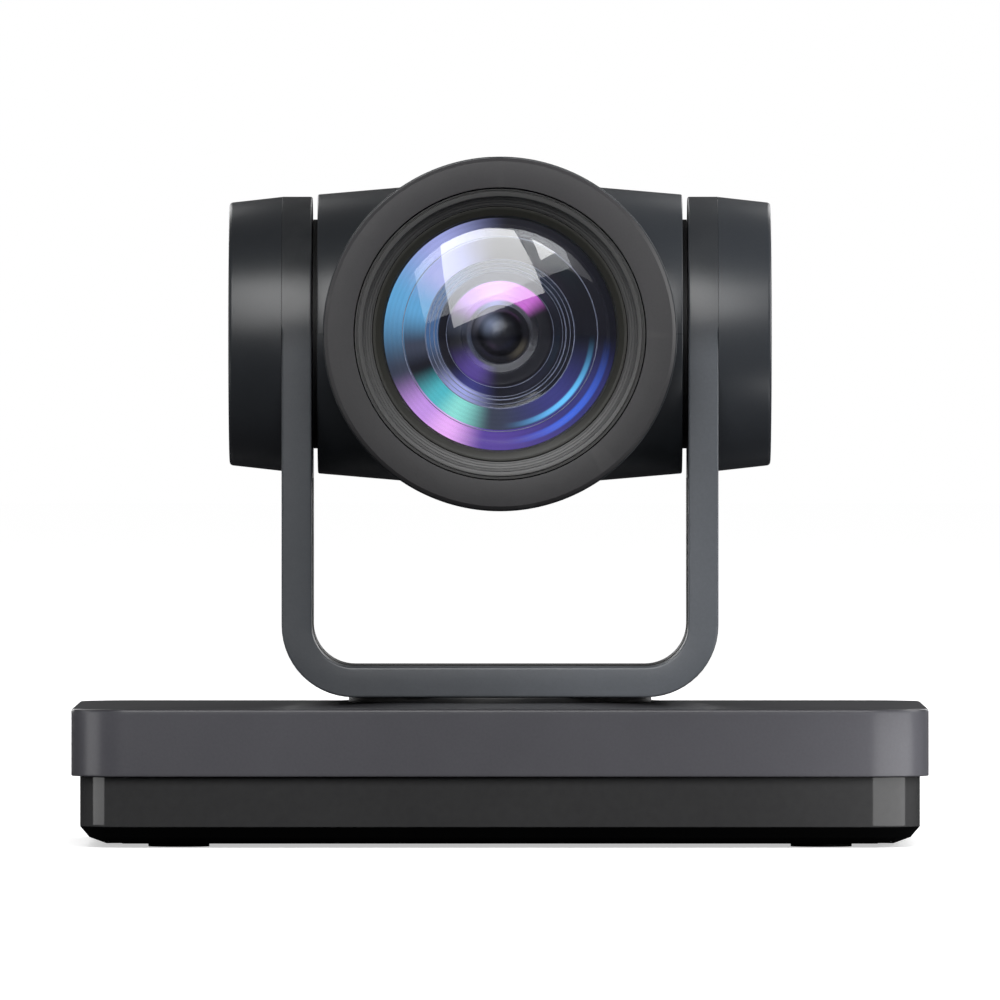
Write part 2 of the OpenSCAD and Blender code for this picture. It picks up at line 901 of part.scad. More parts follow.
module yoke_frame() {
    color([0.27, 0.28, 0.3])
    difference() {
        union() {
            difference() {
                intersection() {
                    yoke_strip(0, arm_t, arm_r, axis_z + 2 * arm_r);
                    yoke_side(arm_r);
                }
                for (s = [0, 1])
                    mirror([s, 0, 0])
                        sideways()
                            disc(pocket_r, pocket_x, yoke_out + e);
                yoke_strip(-e, channel_depth, channel_half, liner_top);
                for (s = [0, 1])
                    mirror([s, 0, 0])
                        block([pocket_x, -cable_half, liner_top - 2],
                            [yoke_half + channel_depth, cable_half, axis_z - pocket_r + 2]);
            }
            for (s = [0, 1])
                mirror([s, 0, 0])
                    sideways() {
                        disc(boss_r, pocket_x - e, boss_x);
                        at_studs()
                            disc(stud_r, pocket_x - e, stud_end);
                    }
        }
        for (s = [0, 1])
            mirror([s, 0, 0])
                sideways() {
                    disc(bush_r, yoke_half - e, boss_x + e);
                    at_studs()
                        disc(m2_r, stud_end - 5, stud_end + e);
                }
        translate([0, 0, yoke_z - e])
            cylinder(r = cable_r, h = arm_t);
        at_corners(hub_screw_xy[0], hub_screw_xy[1])
            translate([0, 0, yoke_z - e])
                cylinder(r = m3_r, h = 5.5 + e);
    }
}

module yoke_liner() {
    color([0.08, 0.08, 0.085])
        yoke_strip(0, liner_t, channel_half - fit_gap, liner_top - fit_gap);
}

module yoke_screws() {
    color([0.55, 0.55, 0.57]) {
        at_corners(hub_screw_xy[0], hub_screw_xy[1])
            translate([0, 0, hub_flange_z + hub_screw_head])
                rotate([180, 0, 0])
                    pan_screw(m3_r, m3_head_r, hub_screw_head - 0.5,
                        yoke_z + 5 - hub_flange_z - hub_screw_head);
        for (s = [0, 1])
            mirror([s, 0, 0])
                sideways()
                    at_studs()
                        translate([0, 0, stud_end + bracket_t])
                            pan_screw(m2_r, m2_head_r, 1.2, 5);
    }
}

module drum_cap() {
    sideways()
        difference() {
            union() {
                translate([0, 0, yoke_out])
                    cylinder(r1 = drum_root_r, r2 = drum_end_r, h = drum_len - 0.8);
                translate([0, 0, drum_x1 - 1.6])
                    cylinder(r1 = drum_end_r - 0.1, r2 = drum_end_r - 0.8, h = 1.6);
                disc(pocket_r - fit_gap, yoke_out - 2.5, yoke_out + e);
            }
            translate([0, 0, yoke_out + 2 * e])
                cylinder(r1 = drum_root_r - drum_wall, r2 = drum_end_r - drum_wall,
                    h = drum_len - drum_wall - 2 * e);
            disc(pocket_r - fit_gap - 1.4, yoke_out - 3, yoke_out + 3);
        }
}

module drum_cap_right() {
    color([0.2, 0.22, 0.24])
        drum_cap();
}

module drum_cap_left() {
    color([0.2, 0.22, 0.24])
    mirror([1, 0, 0])
        drum_cap();
}

module tilt_bushes() {
    color([0.85, 0.84, 0.78])
    for (s = [0, 1])
        mirror([s, 0, 0])
            sideways()
                difference() {
                    union() {
                        disc(bush_r, yoke_half + 0.1, boss_x + e);
                        disc(bush_flange_r, boss_x, boss_x + bush_flange_t);
                    }
                    disc(trunnion_r + run_gap, yoke_half - e, boss_x + 2);
                }
}

module motor_bracket() {
    color([0.6, 0.61, 0.63])
    sideways()
        difference() {
            disc(bracket_r, stud_end, stud_end + bracket_t);
            disc(trunnion_r + 2.8, stud_end - e, stud_end + bracket_t + e);
            translate([tilt_centre, 0, 0])
                disc(tilt_pinion_r + 1.4, stud_end - e, stud_end + bracket_t + e);
            at_studs()
                disc(m2_r + fit_gap, stud_end - e, stud_end + bracket_t + e);
        }
}

module tilt_motor() {
    color([0.5, 0.5, 0.52])
    sideways()
        translate([tilt_centre, 0, stud_end + bracket_t])
            difference() {
                cylinder(r = tilt_motor_r, h = tilt_motor_h);
                translate([0, 0, -e])
                    cylinder(r = tilt_shaft_r + run_gap, h = 5.5 + e);
            }
}

module tilt_pinion() {
    color([0.75, 0.6, 0.3])
    sideways()
        translate([tilt_centre, 0, 0]) {
            disc(tilt_shaft_r, tilt_gear_x, stud_end + bracket_t + 5);
            translate([0, 0, tilt_gear_x - 0.2])
                rotate([0, 0, 180 + 180 / tilt_pinion_teeth])
                    linear_extrude(tilt_gear_h + 0.2)
                        gear_outline(tilt_module, tilt_pinion_teeth, tilt_addendum, 0.08);
        }
}

module tilt_sensor() {
    flag_x = tilt_gear_x;
    color([0.05, 0.24, 0.13])
    mirror([1, 0, 0])
        sideways() {
            difference() {
                disc(bracket_r, stud_end, stud_end + bracket_t);
                disc(trunnion_r + 2.8, stud_end - e, stud_end + bracket_t + e);
                block([-bracket_r, -bracket_r, stud_end - e], [bracket_r, -10, stud_end + bracket_t + e]);
                at_studs()
                    disc(m2_r + fit_gap, stud_end - e, stud_end + bracket_t + e);
            }
            difference() {
                block([-3, 13, pocket_x + 1.5], [3, 21, stud_end]);
                block([-4, 12, flag_x - 0.6], [4, 18.5, flag_x + 1.6]);
            }
        }
}

// ---------------------------------------------------------------- head

module barrel_body(inset, half) {
    sideways()
        rotate_extrude()
            polygon([[0, -half], [barrel_end_r - inset, -half], [barrel_knee_r - inset, -barrel_knee_x],
                [barrel_mid_r - inset, -crown_x], [barrel_mid_r - inset, crown_x],
                [barrel_knee_r - inset, barrel_knee_x], [barrel_end_r - inset, half], [0, half]]);
}

module tube_body(inset, front, back) {
    forward()
        rotate_extrude()
            polygon([[0, back], [barrel_mid_r - 1.3 - inset, back], [tube_r - inset, cone_front],
                [tube_r - inset, front], [0, front]]);
}

module head_shell() {
    difference() {
        union() {
            barrel_body(0, barrel_half);
            tube_body(0, tube_edge, cone_back);
        }
        difference() {
            barrel_body(shell_t, frame_x);
            at_corners(shell_post_x, shell_post_y)
                translate([0, 0, axis_z - barrel_mid_r])
                    cylinder(r = shell_post_r, h = 2 * barrel_mid_r);
        }
        tube_body(shell_t, tube_front, cone_back + 2);
        for (s = [0, 1])
            mirror([s, 0, 0])
                sideways() {
                    disc(spigot_r + 0.1, frame_x - e, barrel_half + e);
                    for (a = [45:90:315])
                        rotate([0, 0, a])
                            translate([trunnion_screw_at, 0, 0])
                                disc(m2_r + fit_gap, frame_x - e, barrel_half + e);
                }
        at_corners(shell_post_x, shell_post_y) {
            translate([0, 0, axis_z - shell_post_z - barrel_mid_r])
                cylinder(r = m2_head_r + fit_gap, h = barrel_mid_r);
            translate([0, 0, axis_z - shell_post_z - e])
                cylinder(r = m2_r, h = shell_post_z + 8);
        }
    }
}

module head_upper() {
    color([0.2, 0.22, 0.24])
    intersection() {
        head_shell();
        block([-base_w, -base_w, axis_z], [base_w, base_w, axis_z + base_w]);
    }
}

module head_lower() {
    color([0.2, 0.22, 0.24])
    intersection() {
        head_shell();
        block([-base_w, -base_w, 0], [base_w, base_w, axis_z]);
    }
}

module head_frame() {
    color([0.6, 0.61, 0.63])
    difference() {
        union() {
            for (s = [0, 1])
                mirror([s, 0, 0])
                    sideways()
                        disc(head_frame_r, frame_x - sheet, frame_x);
            block([-frame_x + e, -deck_y, axis_z - deck_z - deck_t], [frame_x - e, deck_y, axis_z - deck_z]);
        }
        for (s = [0, 1])
            mirror([s, 0, 0])
                sideways() {
                    disc(spigot_r, frame_x - 2 * sheet, frame_x + e);
                    for (a = [45:90:315])
                        rotate([0, 0, a])
                            translate([trunnion_screw_at, 0, 0])
                                disc(m2_r, frame_x - 2 * sheet, frame_x + e);
                }
    }
}

module trunnion() {
    difference() {
        union() {
            disc(spigot_r, frame_x - sheet, barrel_half + e);
            disc(trunnion_flange_r, barrel_half, barrel_half + trunnion_flange_t);
            disc(trunnion_r, barrel_half, trunnion_end);
        }
        disc(cable_r - 0.5, frame_x - 2 * sheet, trunnion_end + e);
        for (a = [45:90:315])
            rotate([0, 0, a])
                translate([trunnion_screw_at, 0, 0]) {
                    disc(m2_r + fit_gap, barrel_half - e, barrel_half + 2);
                    disc(m2_head_r + fit_gap, barrel_half + trunnion_flange_t - 0.8, barrel_half + 2);
                }
    }
}

module trunnion_right() {
    color([0.1, 0.1, 0.11])
    sideways()
        trunnion();
}

module trunnion_left() {
    color([0.1, 0.1, 0.11])
    mirror([1, 0, 0])
        sideways()
            trunnion();
}

module tilt_gear() {
    color([0.85, 0.84, 0.78])
    sideways()
        translate([0, 0, tilt_gear_x])
            difference() {
                linear_extrude(tilt_gear_h)
                    gear_outline(tilt_module, tilt_gear_teeth, tilt_addendum, 0.08);
                translate([0, 0, -e])
                    cylinder(r = trunnion_r, h = tilt_gear_h + 2 * e);
            }
}

module tilt_flag() {
    color([0.1, 0.1, 0.11])
    mirror([1, 0, 0])
        sideways()
            difference() {
                union() {
                    disc(trunnion_r + 2, tilt_gear_x, tilt_gear_x + 3);
                    difference() {
                        disc(17.5, tilt_gear_x, tilt_gear_x + 1);
                        block([-20, -20, tilt_gear_x - e], [20, 0, tilt_gear_x + 2]);
                        block([0, -20, tilt_gear_x - e], [20, 20, tilt_gear_x + 2]);
                    }
                }
                disc(trunnion_r, tilt_gear_x - e, tilt_gear_x + 4);
            }
}

module head_screws() {
    color([0.55, 0.55, 0.57]) {
        for (s = [0, 1])
            mirror([s, 0, 0])
                sideways()
                    for (a = [45:90:315])
                        rotate([0, 0, a])
                            translate([trunnion_screw_at, 0, barrel_half + trunnion_flange_t - 0.8])
                                pan_screw(m2_r, m2_head_r, 0.7, 5);
        at_corners(shell_post_x, shell_post_y)
            translate([0, 0, axis_z - shell_post_z])
                rotate([180, 0, 0])
                    pan_screw(m2_r, m2_head_r, 1.4, shell_post_z + 7);
    }
}

// ---------------------------------------------------------------- lens

module lens_bezel() {
    color([0.25, 0.25, 0.26])
    forward()
        rotate_extrude()
            polygon([[bezel_in_r, tube_edge - 4], [tube_r - shell_t - fit_gap, tube_edge - 4],
                [tube_r - shell_t - fit_gap, tube_edge], [bezel_out_r, tube_edge],
                [bezel_out_r, tube_front - 0.9], [bezel_out_r - 0.9, tube_front], [bezel_in_r, tube_front]]);
}

module trim_ring() {
    out_r = bezel_in_r - 0.2;
    step_r = (out_r - 1.75 - trim_in_r) / 4;
    color([0.12, 0.12, 0.12])
    forward()
        rotate_extrude()
            polygon([[trim_in_r, glass_front], [out_r, glass_front], [out_r, tube_front - 1.4],
                [out_r - 1.75, tube_front - 2.6], [out_r - 1.75, tube_front - 3.2],
                [trim_in_r + 3 * step_r, tube_front - 3.2], [trim_in_r + 3 * step_r, tube_front - 4],
                [trim_in_r + 2 * step_r, tube_front - 4], [trim_in_r + 2 * step_r, tube_front - 4.8],
                [trim_in_r + step_r, tube_front - 4.8], [trim_in_r + step_r, tube_front - 5.4],
                [trim_in_r, tube_front - 5.4]]);
}

module glass_ring() {
    color([0.1, 0.1, 0.09])
    forward()
        rotate_extrude()
            polygon([[glass_r, glass_front], [ring_out_r, glass_front], [ring_out_r, glass_front + 4.2],
                [glass_r + 0.6, glass_front + 3.6], [glass_r, glass_front + 3]]);
}

module front_glass() {
    color([0.2, 0.25, 0.4])
    forward()
        difference() {
            intersection() {
                translate([0, 0, glass_back])
                    cylinder(r = glass_edge_r - run_gap, h = glass_bulge + 10);
                translate([0, 0, glass_front + glass_bulge - glass_sphere_r])
                    sphere(r = glass_sphere_r);
            }
            translate([0, 0, glass_front - glass_hollow_r])
                sphere(r = glass_hollow_r);
        }
}

module lens_barrel() {
    f = glass_back;
    color([0.08, 0.08, 0.08])
    forward()
        difference() {
            union() {
                rotate_extrude()
                    polygon([[bay_in_r, bay_back - bay_wall], [bay_out_r, bay_back - bay_wall],
                        [bay_out_r, bay_front - 2], [barrel_out_r, bay_front - 2],
                        [barrel_out_r, glass_front],
                        [barrel_seat_r, glass_front], [barrel_seat_r, f], [glass_r - 1.5, f],
                        [glass_r - 1.5, f - 3.5], [25.2, f - 3.5], [25.2, f - 6.5], [21.5, f - 6.5],
                        [21.5, f - 9.5], [18.6, f - 9.5], [18.6, f - 12.5], [16, f - 12.5], [16, f - 15],
                        [13.6, f - 15], [13.6, bay_front - 0.6], [bay_in_r, bay_front - 0.6]]);
                translate([0, 0, bay_back - bay_wall])
                    cylinder(r = bay_in_r + e, h = bay_wall);
                for (x = [-1, 1], y = [-1, 1])
                    translate([x * standoff_x, y * standoff_y, bay_back - bay_wall - standoff_h])
                        cylinder(r = 2, h = standoff_h + e);
                block([-12, -deck_z, -12], [12, -bay_in_r - 0.2, 12]);
            }
            block([-6, -5, bay_back - bay_wall - e], [6, 5, bay_back + e]);
            for (y = [-1, 1])
                translate([0, y * screw_z, bay_back - bay_wall - e])
                    cylinder(r = screw_r + 0.1, h = bay_wall + 2 * e);
        }
}

module guide_rods() {
    color([0.8, 0.8, 0.82])
    forward()
        for (x = [-rod_x, rod_x])
            translate([x, 0, bay_back])
                cylinder(r = rod_r, h = bay_front - 0.6 - bay_back);
}

module lens_motors() {
    color([0.5, 0.5, 0.52])
    forward()
        for (y = [-screw_z, screw_z])
            translate([0, y, bay_back - bay_wall - lens_motor_h])
                difference() {
                    cylinder(r = lens_motor_r, h = lens_motor_h);
                    translate([0, 0, 3])
                        cylinder(r = screw_r + 0.1, h = lens_motor_h);
                }
}

module sensor_board() {
    color([0.05, 0.24, 0.13])
    forward()
        translate([0, 0, bay_back - bay_wall]) {
            block([-13, -13, -1.5 - board_t], [13, 13, -1.5]);
            block([-7, -5.5, -1.5 - e], [7, 5.5, 0]);
        }
}

module camera_board() {
    z = bay_back - bay_wall - standoff_h;
    color([0.05, 0.24, 0.13])
    forward() {
        block([-29, -16, z - board_t], [29, 16, z]);
        block([-7, -7, z - board_t - 1.4], [7, 7, z - board_t + e]);
        block([13, -4, z - board_t - 1], [21, 4, z - board_t + e]);
        block([-22, -5, z - board_t - 1], [-14, 5, z - board_t + e]);
    }
}

module carrier(z, h, lens_r, side) {
    forward()
        difference() {
            union() {
                translate([0, 0, z])
                    cylinder(r = carrier_r, h = h);
                block([-rod_x - 2.6, -3, z], [rod_x + 2.6, 3, z + h]);
                block([-3, min(0, side * (screw_z + 2.8)), z], [3, max(0, side * (screw_z + 2.8)), z + h]);
            }
            translate([0, 0, z - e])
                cylinder(r = lens_r - 1, h = h + 2 * e);
            translate([0, 0, z + 1])
                cylinder(r = lens_r, h = h);
            for (x = [-rod_x, rod_x])
                translate([x, 0, z - e])
                    cylinder(r = rod_r + run_gap, h = h + 2 * e);
            translate([0, side * screw_z, z - e])
                cylinder(r = screw_r + run_gap, h = h + 2 * e);
        }
}

module zoom_group() {
    color([0.1, 0.1, 0.11])
        carrier(zoom_z, zoom_h, zoom_lens_r, 1);
}

module zoom_lens() {
    color([0.35, 0.25, 0.5])
    forward()
        intersection() {
            translate([0, 0, zoom_z + 1])
                cylinder(r = zoom_lens_r - 0.01, h = 10);
            translate([0, 0, zoom_z + zoom_h + 1.5 - 24])
                sphere(r = 24);
        }
}

module focus_group() {
    color([0.1, 0.1, 0.11])
        carrier(focus_z, focus_h, focus_lens_r, -1);
}

module focus_lens() {
    color([0.35, 0.25, 0.5])
    forward()
        intersection() {
            translate([0, 0, focus_z + 1])
                cylinder(r = focus_lens_r - 0.01, h = 10);
            translate([0, 0, focus_z + focus_h + 1 - 20])
                sphere(r = 20);
        }
}

// a lead screw drawn as a shaft with ring grooves
module lead_screw(side) {
    start = bay_back + 1;
    stop = bay_front - 1.5;
    pitch = 2;
    forward()
        translate([0, side * screw_z, 0])
            rotate_extrude()
                polygon(concat([[0, bay_back - bay_wall - 5], [screw_r, bay_back - bay_wall - 5],
                    [screw_r, start]],
                    [for (z = [start:pitch:stop - pitch], k = [0:1])
                        k == 0 ? [screw_r - 0.3, z + 0.6] : [screw_r, z + 1.2]],
                    [[screw_r, stop], [0, stop]]));
}

module zoom_screw() {
    color([0.8, 0.8, 0.82])
        lead_screw(1);
}

module focus_screw() {
    color([0.8, 0.8, 0.82])
        lead_screw(-1);
}

base_cover();
base_band();
base_tray();
feet();
tripod_insert();
base_screws();
rear_panel();
main_board();
board_chips();
dc_jack();
hdmi_port();
usb_port();
lan_port();
audio_jacks();
serial_ports();
indicator_board();
indicator_parts();
pan_frame();
bearing_outer();
bearing_balls();
bearing_inner();
pan_motor();
pan_pinion();
pan_hub();
pan_gear();
hub_nut();
turntable();
yoke_frame();
yoke_liner();
yoke_screws();
drum_cap_left();
drum_cap_right();
tilt_bushes();
motor_bracket();
tilt_motor();
tilt_pinion();
tilt_sensor();
head_upper();
head_lower();
head_frame();
trunnion_left();
trunnion_right();
tilt_gear();
tilt_flag();
head_screws();
lens_bezel();
trim_ring();
glass_ring();
front_glass();
lens_barrel();
guide_rods();
lens_motors();
sensor_board();
camera_board();
zoom_group();
zoom_lens();
focus_group();
focus_lens();
zoom_screw();
focus_screw();
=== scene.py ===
"""Looks of the pan-tilt-zoom camera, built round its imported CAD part. Metres, +Z up, the lens faces -Y."""
import json
import math
import bmesh
import bpy
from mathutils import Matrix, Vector


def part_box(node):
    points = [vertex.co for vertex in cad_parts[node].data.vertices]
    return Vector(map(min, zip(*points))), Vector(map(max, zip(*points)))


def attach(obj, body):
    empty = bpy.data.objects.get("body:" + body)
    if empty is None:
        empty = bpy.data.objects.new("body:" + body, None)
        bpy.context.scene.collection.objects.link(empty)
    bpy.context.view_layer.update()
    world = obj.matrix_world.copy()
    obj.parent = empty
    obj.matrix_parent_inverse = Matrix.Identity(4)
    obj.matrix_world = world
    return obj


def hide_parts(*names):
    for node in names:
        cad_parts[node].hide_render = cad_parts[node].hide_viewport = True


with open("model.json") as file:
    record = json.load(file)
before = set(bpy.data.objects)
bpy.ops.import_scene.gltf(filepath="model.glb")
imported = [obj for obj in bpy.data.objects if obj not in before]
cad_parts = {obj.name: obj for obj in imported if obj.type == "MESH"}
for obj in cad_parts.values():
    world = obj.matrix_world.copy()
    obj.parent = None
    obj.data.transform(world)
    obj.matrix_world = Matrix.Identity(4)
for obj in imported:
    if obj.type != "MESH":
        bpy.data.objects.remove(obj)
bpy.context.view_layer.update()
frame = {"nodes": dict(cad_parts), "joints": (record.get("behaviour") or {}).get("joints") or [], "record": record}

MM = 0.001
joints = {j["name"]: j for j in frame["joints"]}
AXIS_Z = joints["tilt"]["pos_m"][2] / MM


def node_box(name):
    """The lowest and highest corner of a CAD node in millimetres."""
    low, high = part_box(name)
    return [c / MM for c in low], [c / MM for c in high]


COVER_LOW, COVER_HIGH = node_box("base_cover")
BAND_LOW, BAND_HIGH = node_box("base_band")
TRAY_LOW, TRAY_HIGH = node_box("base_tray")
YOKE_LOW, YOKE_HIGH = node_box("yoke_frame")
DRUM_LOW, DRUM_HIGH = node_box("drum_cap_right")
TUBE_FRONT = -node_box("lens_bezel")[0][1]
TUBE_EDGE = TUBE_FRONT - 3.5
TUBE_R = node_box("head_upper")[1][2] - AXIS_Z
BARREL_HALF = node_box("head_upper")[1][0]
GLASS_R = node_box("front_glass")[1][0] + 0.1
GLASS_TOP = -node_box("front_glass")[0][1]
GLASS_SEAT = GLASS_TOP - 7
YOKE_OUT = DRUM_HIGH[0] - 14
ARM_T = 7.9
ARM_R = YOKE_HIGH[1]
YOKE_HALF = YOKE_OUT - ARM_T
YOKE_Z = YOKE_LOW[2]
PLINTH_TOP = COVER_HIGH[2]
COVER_TOP = PLINTH_TOP - 1
BARREL_FRONT = GLASS_SEAT - 4.5
BACK_CURVE = 89


# ---------------------------------------------------------------- meshes

def new_object(name, verts, faces, sharp_deg=32, smooth=True):
    """A mesh object from points in millimetres."""
    mesh = bpy.data.meshes.new(name)
    mesh.from_pydata([tuple(c * MM for c in v) for v in verts], [], faces)
    bm = bmesh.new()
    bm.from_mesh(mesh)
    bmesh.ops.remove_doubles(bm, verts=bm.verts, dist=1e-7)
    bmesh.ops.recalc_face_normals(bm, faces=bm.faces)
    bm.to_mesh(mesh)
    bm.free()
    if smooth:
        mesh.shade_smooth()
        mesh.set_sharp_from_angle(angle=math.radians(sharp_deg))
    obj = bpy.data.objects.new(name, mesh)
    bpy.context.scene.collection.objects.link(obj)
    return obj


def fillet(points, closed=True, steps=4):
    """Rounds the corners of a 2D outline. Each point is (a, b) or (a, b, radius)."""
    out = []
    count = len(points)
    for i, p in enumerate(points):
        radius = p[2] if len(p) > 2 else 0
        here = Vector(p[:2])
        if radius <= 0 or (not closed and i in (0, count - 1)):
            out.append(tuple(here))
            continue
        before = Vector(points[i - 1][:2]) - here
        after = Vector(points[(i + 1) % count][:2]) - here
        turn = before.angle(after)
        cut = min(radius / math.tan(turn / 2), before.length * 0.49, after.length * 0.49)
        start = here + before.normalized() * cut
        stop = here + after.normalized() * cut
        for k in range(steps + 1):
            t = k / steps
            out.append(tuple(start * (1 - t) ** 2 + here * 2 * t * (1 - t) + stop * t * t))
    return out


def place(axis, r, a, angle):
    """A point at radius r and distance a along an axis: up, front (-Y) or side (+X).
    The last two start at the tilt axis."""
    c, s = r * math.cos(angle), r * math.sin(angle)
    if axis == "up":
        return (c, s, a)
    if axis == "front":
        return (c, -a, AXIS_Z + s)
    return (a, c, AXIS_Z + s)


def lathe(name, outline, axis, segments=144, closed=True, sharp_deg=32):
    """Turns an outline of (radius, distance) points round an axis."""
    verts, faces = [], []
    count = len(outline)
    for k in range(segments):
        angle = 2 * math.pi * k / segments
        verts += [place(axis, max(r, 0), a, angle) for r, a in outline]
    spans = count if closed else count - 1
    for k in range(segments):
        for i in range(spans):
            j = (i + 1) % count
            n = (k + 1) % segments
            quad = (k * count + i, k * count + j, n * count + j, n * count + i)
            faces.append(quad)
    return new_object(name, verts, faces, sharp_deg)


def plug(name, side, radius, start, stop, segments=64):
    """A solid round tool along the tilt axis on one side; side is 1 for +X and -1 for -X."""
    outline = [(0, side * start), (radius, side * start), (radius, side * stop), (0, side * stop)]
    return lathe(name, outline, "side", segments, closed=False)


def round_rect_points(half_w, half_d, radius, steps=14):
    """Points round a rectangle with round corners, starting on the right side."""
    pts = []
    for quarter, (sx, sy) in enumerate(((1, 1), (-1, 1), (-1, -1), (1, -1))):
        for k in range(steps + 1):
            t = math.pi / 2 * (quarter + k / steps)
            x = sx * (half_w - radius) + radius * math.cos(t)
            y = sy * (half_d - radius) + radius * math.sin(t)
            pts.append((x, y))
        for along in (0.75, 0.5, 0.25, 0, -0.25, -0.5, -0.75):
            if quarter % 2 == 0:
                pts.append((along * sx * (half_w - radius), sy * half_d))
            else:
                pts.append((sx * half_w, along * sy * (half_d - radius)))
    return pts


def loft(name, loops, closed=True, cap=False, sharp_deg=32):
    """Joins loops of equal point counts; each loop is (points, z)."""
    verts, faces = [], []
    count = len(loops[0][0])
    for points, z in loops:
        verts += [(x, y, z) for x, y in points]
    spans = len(loops) if closed else len(loops) - 1
    for i in range(spans):
        a, b = i * count, (i + 1) % len(loops) * count
        for k in range(count):
            n = (k + 1) % count
            faces.append((a + k, a + n, b + n, b + k))
    if cap:
        faces.append(tuple(range(count)))
        faces.append(tuple(range((len(loops) - 1) * count, len(loops) * count)))
    return new_object(name, verts, faces, sharp_deg)


def box_mesh(name, low, high):
    x0, y0, z0 = low
    x1, y1, z1 = high
    verts = [(x, y, z) for x in (x0, x1) for y in (y0, y1) for z in (z0, z1)]
    faces = [(0, 1, 3, 2), (4, 6, 7, 5), (0, 4, 5, 1), (2, 3, 7, 6), (0, 2, 6, 4), (1, 5, 7, 3)]
    return new_object(name, verts, faces, smooth=False)


def cut_with(obj, tool, operation="DIFFERENCE", sharp_deg=32):
    """Applies an exact boolean with a tool mesh, which is then removed."""
    step = obj.modifiers.new("cut", "BOOLEAN")
    step.object = tool
    step.operation = operation
    step.solver = "EXACT"
    graph = bpy.context.evaluated_depsgraph_get()
    result = bpy.data.meshes.new_from_object(obj.evaluated_get(graph))
    obj.modifiers.clear()
    obj.data = result
    bpy.data.objects.remove(tool)
    result.shade_smooth()
    result.set_sharp_from_angle(angle=math.radians(sharp_deg))
    return obj


def bevel(obj, width, segments=2, angle=40):
    step = obj.modifiers.new("round_edges", "BEVEL")
    step.width = width * MM
    step.segments = segments
    step.limit_method = "ANGLE"
    step.angle_limit = math.radians(angle)
    step.harden_normals = True
    return obj


# ---------------------------------------------------------------- shader groups

def new_group(name, inputs, outputs):
    group = bpy.data.node_groups.new(name, "ShaderNodeTree")
    for title, kind, value in inputs:
        socket = group.interface.new_socket(title, in_out="INPUT", socket_type=kind)
        socket.default_value = value
    for title, kind in outputs:
        group.interface.new_socket(title, in_out="OUTPUT", socket_type=kind)
    return group, Graph(group)


class Graph:
    """Small helpers that add and link nodes in one tree."""

    def __init__(self, tree):
        self.tree = tree

    def add(self, kind, label=None, **props):
        item = self.tree.nodes.new(kind)
        for key, value in props.items():
            setattr(item, key, value)
        if label:
            item.label = label
        return item

    def link(self, a, b):
        self.tree.links.new(a, b)

    def math(self, operation, a, b=None, c=None, clamp=False):
        item = self.add("ShaderNodeMath", operation=operation, use_clamp=clamp)
        for i, v in enumerate((a, b, c)):
            if v is None:
                continue
            if isinstance(v, (int, float)):
                item.inputs[i].default_value = v
            else:
                self.link(v, item.inputs[i])
        return item.outputs[0]

    def vector_math(self, operation, a, b=None):
        item = self.add("ShaderNodeVectorMath", operation=operation)
        for i, v in enumerate((a, b)):
            if v is None:
                continue
            if isinstance(v, (tuple, list)):
                item.inputs[i].default_value = v
            else:
                self.link(v, item.inputs[i])
        return item.outputs["Value"] if operation in ("DOT_PRODUCT", "LENGTH") else item.outputs[0]

    def noise(self, vector, scale, detail=3.0, roughness=0.5):
        item = self.add("ShaderNodeTexNoise")
        self.link(vector, item.inputs["Vector"])
        if isinstance(scale, (int, float)):
            item.inputs["Scale"].default_value = scale
        else:
            self.link(scale, item.inputs["Scale"])
        item.inputs["Detail"].default_value = detail
        item.inputs["Roughness"].default_value = roughness
        return item.outputs["Fac"]

    def remap(self, value, low, high, to_low=0.0, to_high=1.0, smooth=False):
        item = self.add("ShaderNodeMapRange", clamp=True)
        if smooth:
            item.interpolation_type = "SMOOTHSTEP"
        settings = (("Value", value), ("From Min", low), ("From Max", high), ("To Min", to_low),
                    ("To Max", to_high))
        for name, v in settings:
            if isinstance(v, (int, float)):
                item.inputs[name].default_value = v
            else:
                self.link(v, item.inputs[name])
        return item.outputs["Result"]

    def mix_color(self, factor, a, b, blend="MIX"):
        item = self.add("ShaderNodeMix", data_type="RGBA", blend_type=blend)
        for socket, v in ((item.inputs[0], factor), (item.inputs[6], a), (item.inputs[7], b)):
            if isinstance(v, (int, float)):
                socket.default_value = v
            elif isinstance(v, (tuple, list)):
                socket.default_value = (*v[:3], 1)
            else:
                self.link(v, socket)
        return item.outputs[2]


def group_io(group):
    return group.nodes.new("NodeGroupInput"), group.nodes.new("NodeGroupOutput")


def make_fine_texture():
    """Paint or plastic grain: a bump height, a tone and a roughness shift from two scales of noise."""
    group, g = new_group(
        "fine_texture",
        [("Vector", "NodeSocketVector", (0, 0, 0)), ("Grain Scale", "NodeSocketFloat", 900.0),
         ("Cloud Scale", "NodeSocketFloat", 14.0)],
        [("Height", "NodeSocketFloat"), ("Tone", "NodeSocketFloat"), ("Rough", "NodeSocketFloat")])
    source, target = group_io(group)
    vector = source.outputs["Vector"]
    grain = g.noise(vector, source.outputs["Grain Scale"], 2.0)
    clouds = g.noise(vector, source.outputs["Cloud Scale"], 5.0, 0.6)
    middle = g.noise(vector, g.math("MULTIPLY", source.outputs["Grain Scale"], 0.18), 2.0)
    height = g.math("ADD", g.math("MULTIPLY", grain, 0.7), g.math("MULTIPLY", middle, 0.3))
    tone = g.math("ADD", g.math("MULTIPLY", clouds, 0.7), g.math("MULTIPLY", grain, 0.3))
    uneven = g.math("ADD", g.math("MULTIPLY", clouds, 0.6), g.math("MULTIPLY", grain, 0.4))
    g.link(height, target.inputs["Height"])
    g.link(tone, target.inputs["Tone"])
    g.link(g.math("SUBTRACT", uneven, 0.5), target.inputs["Rough"])
    return group


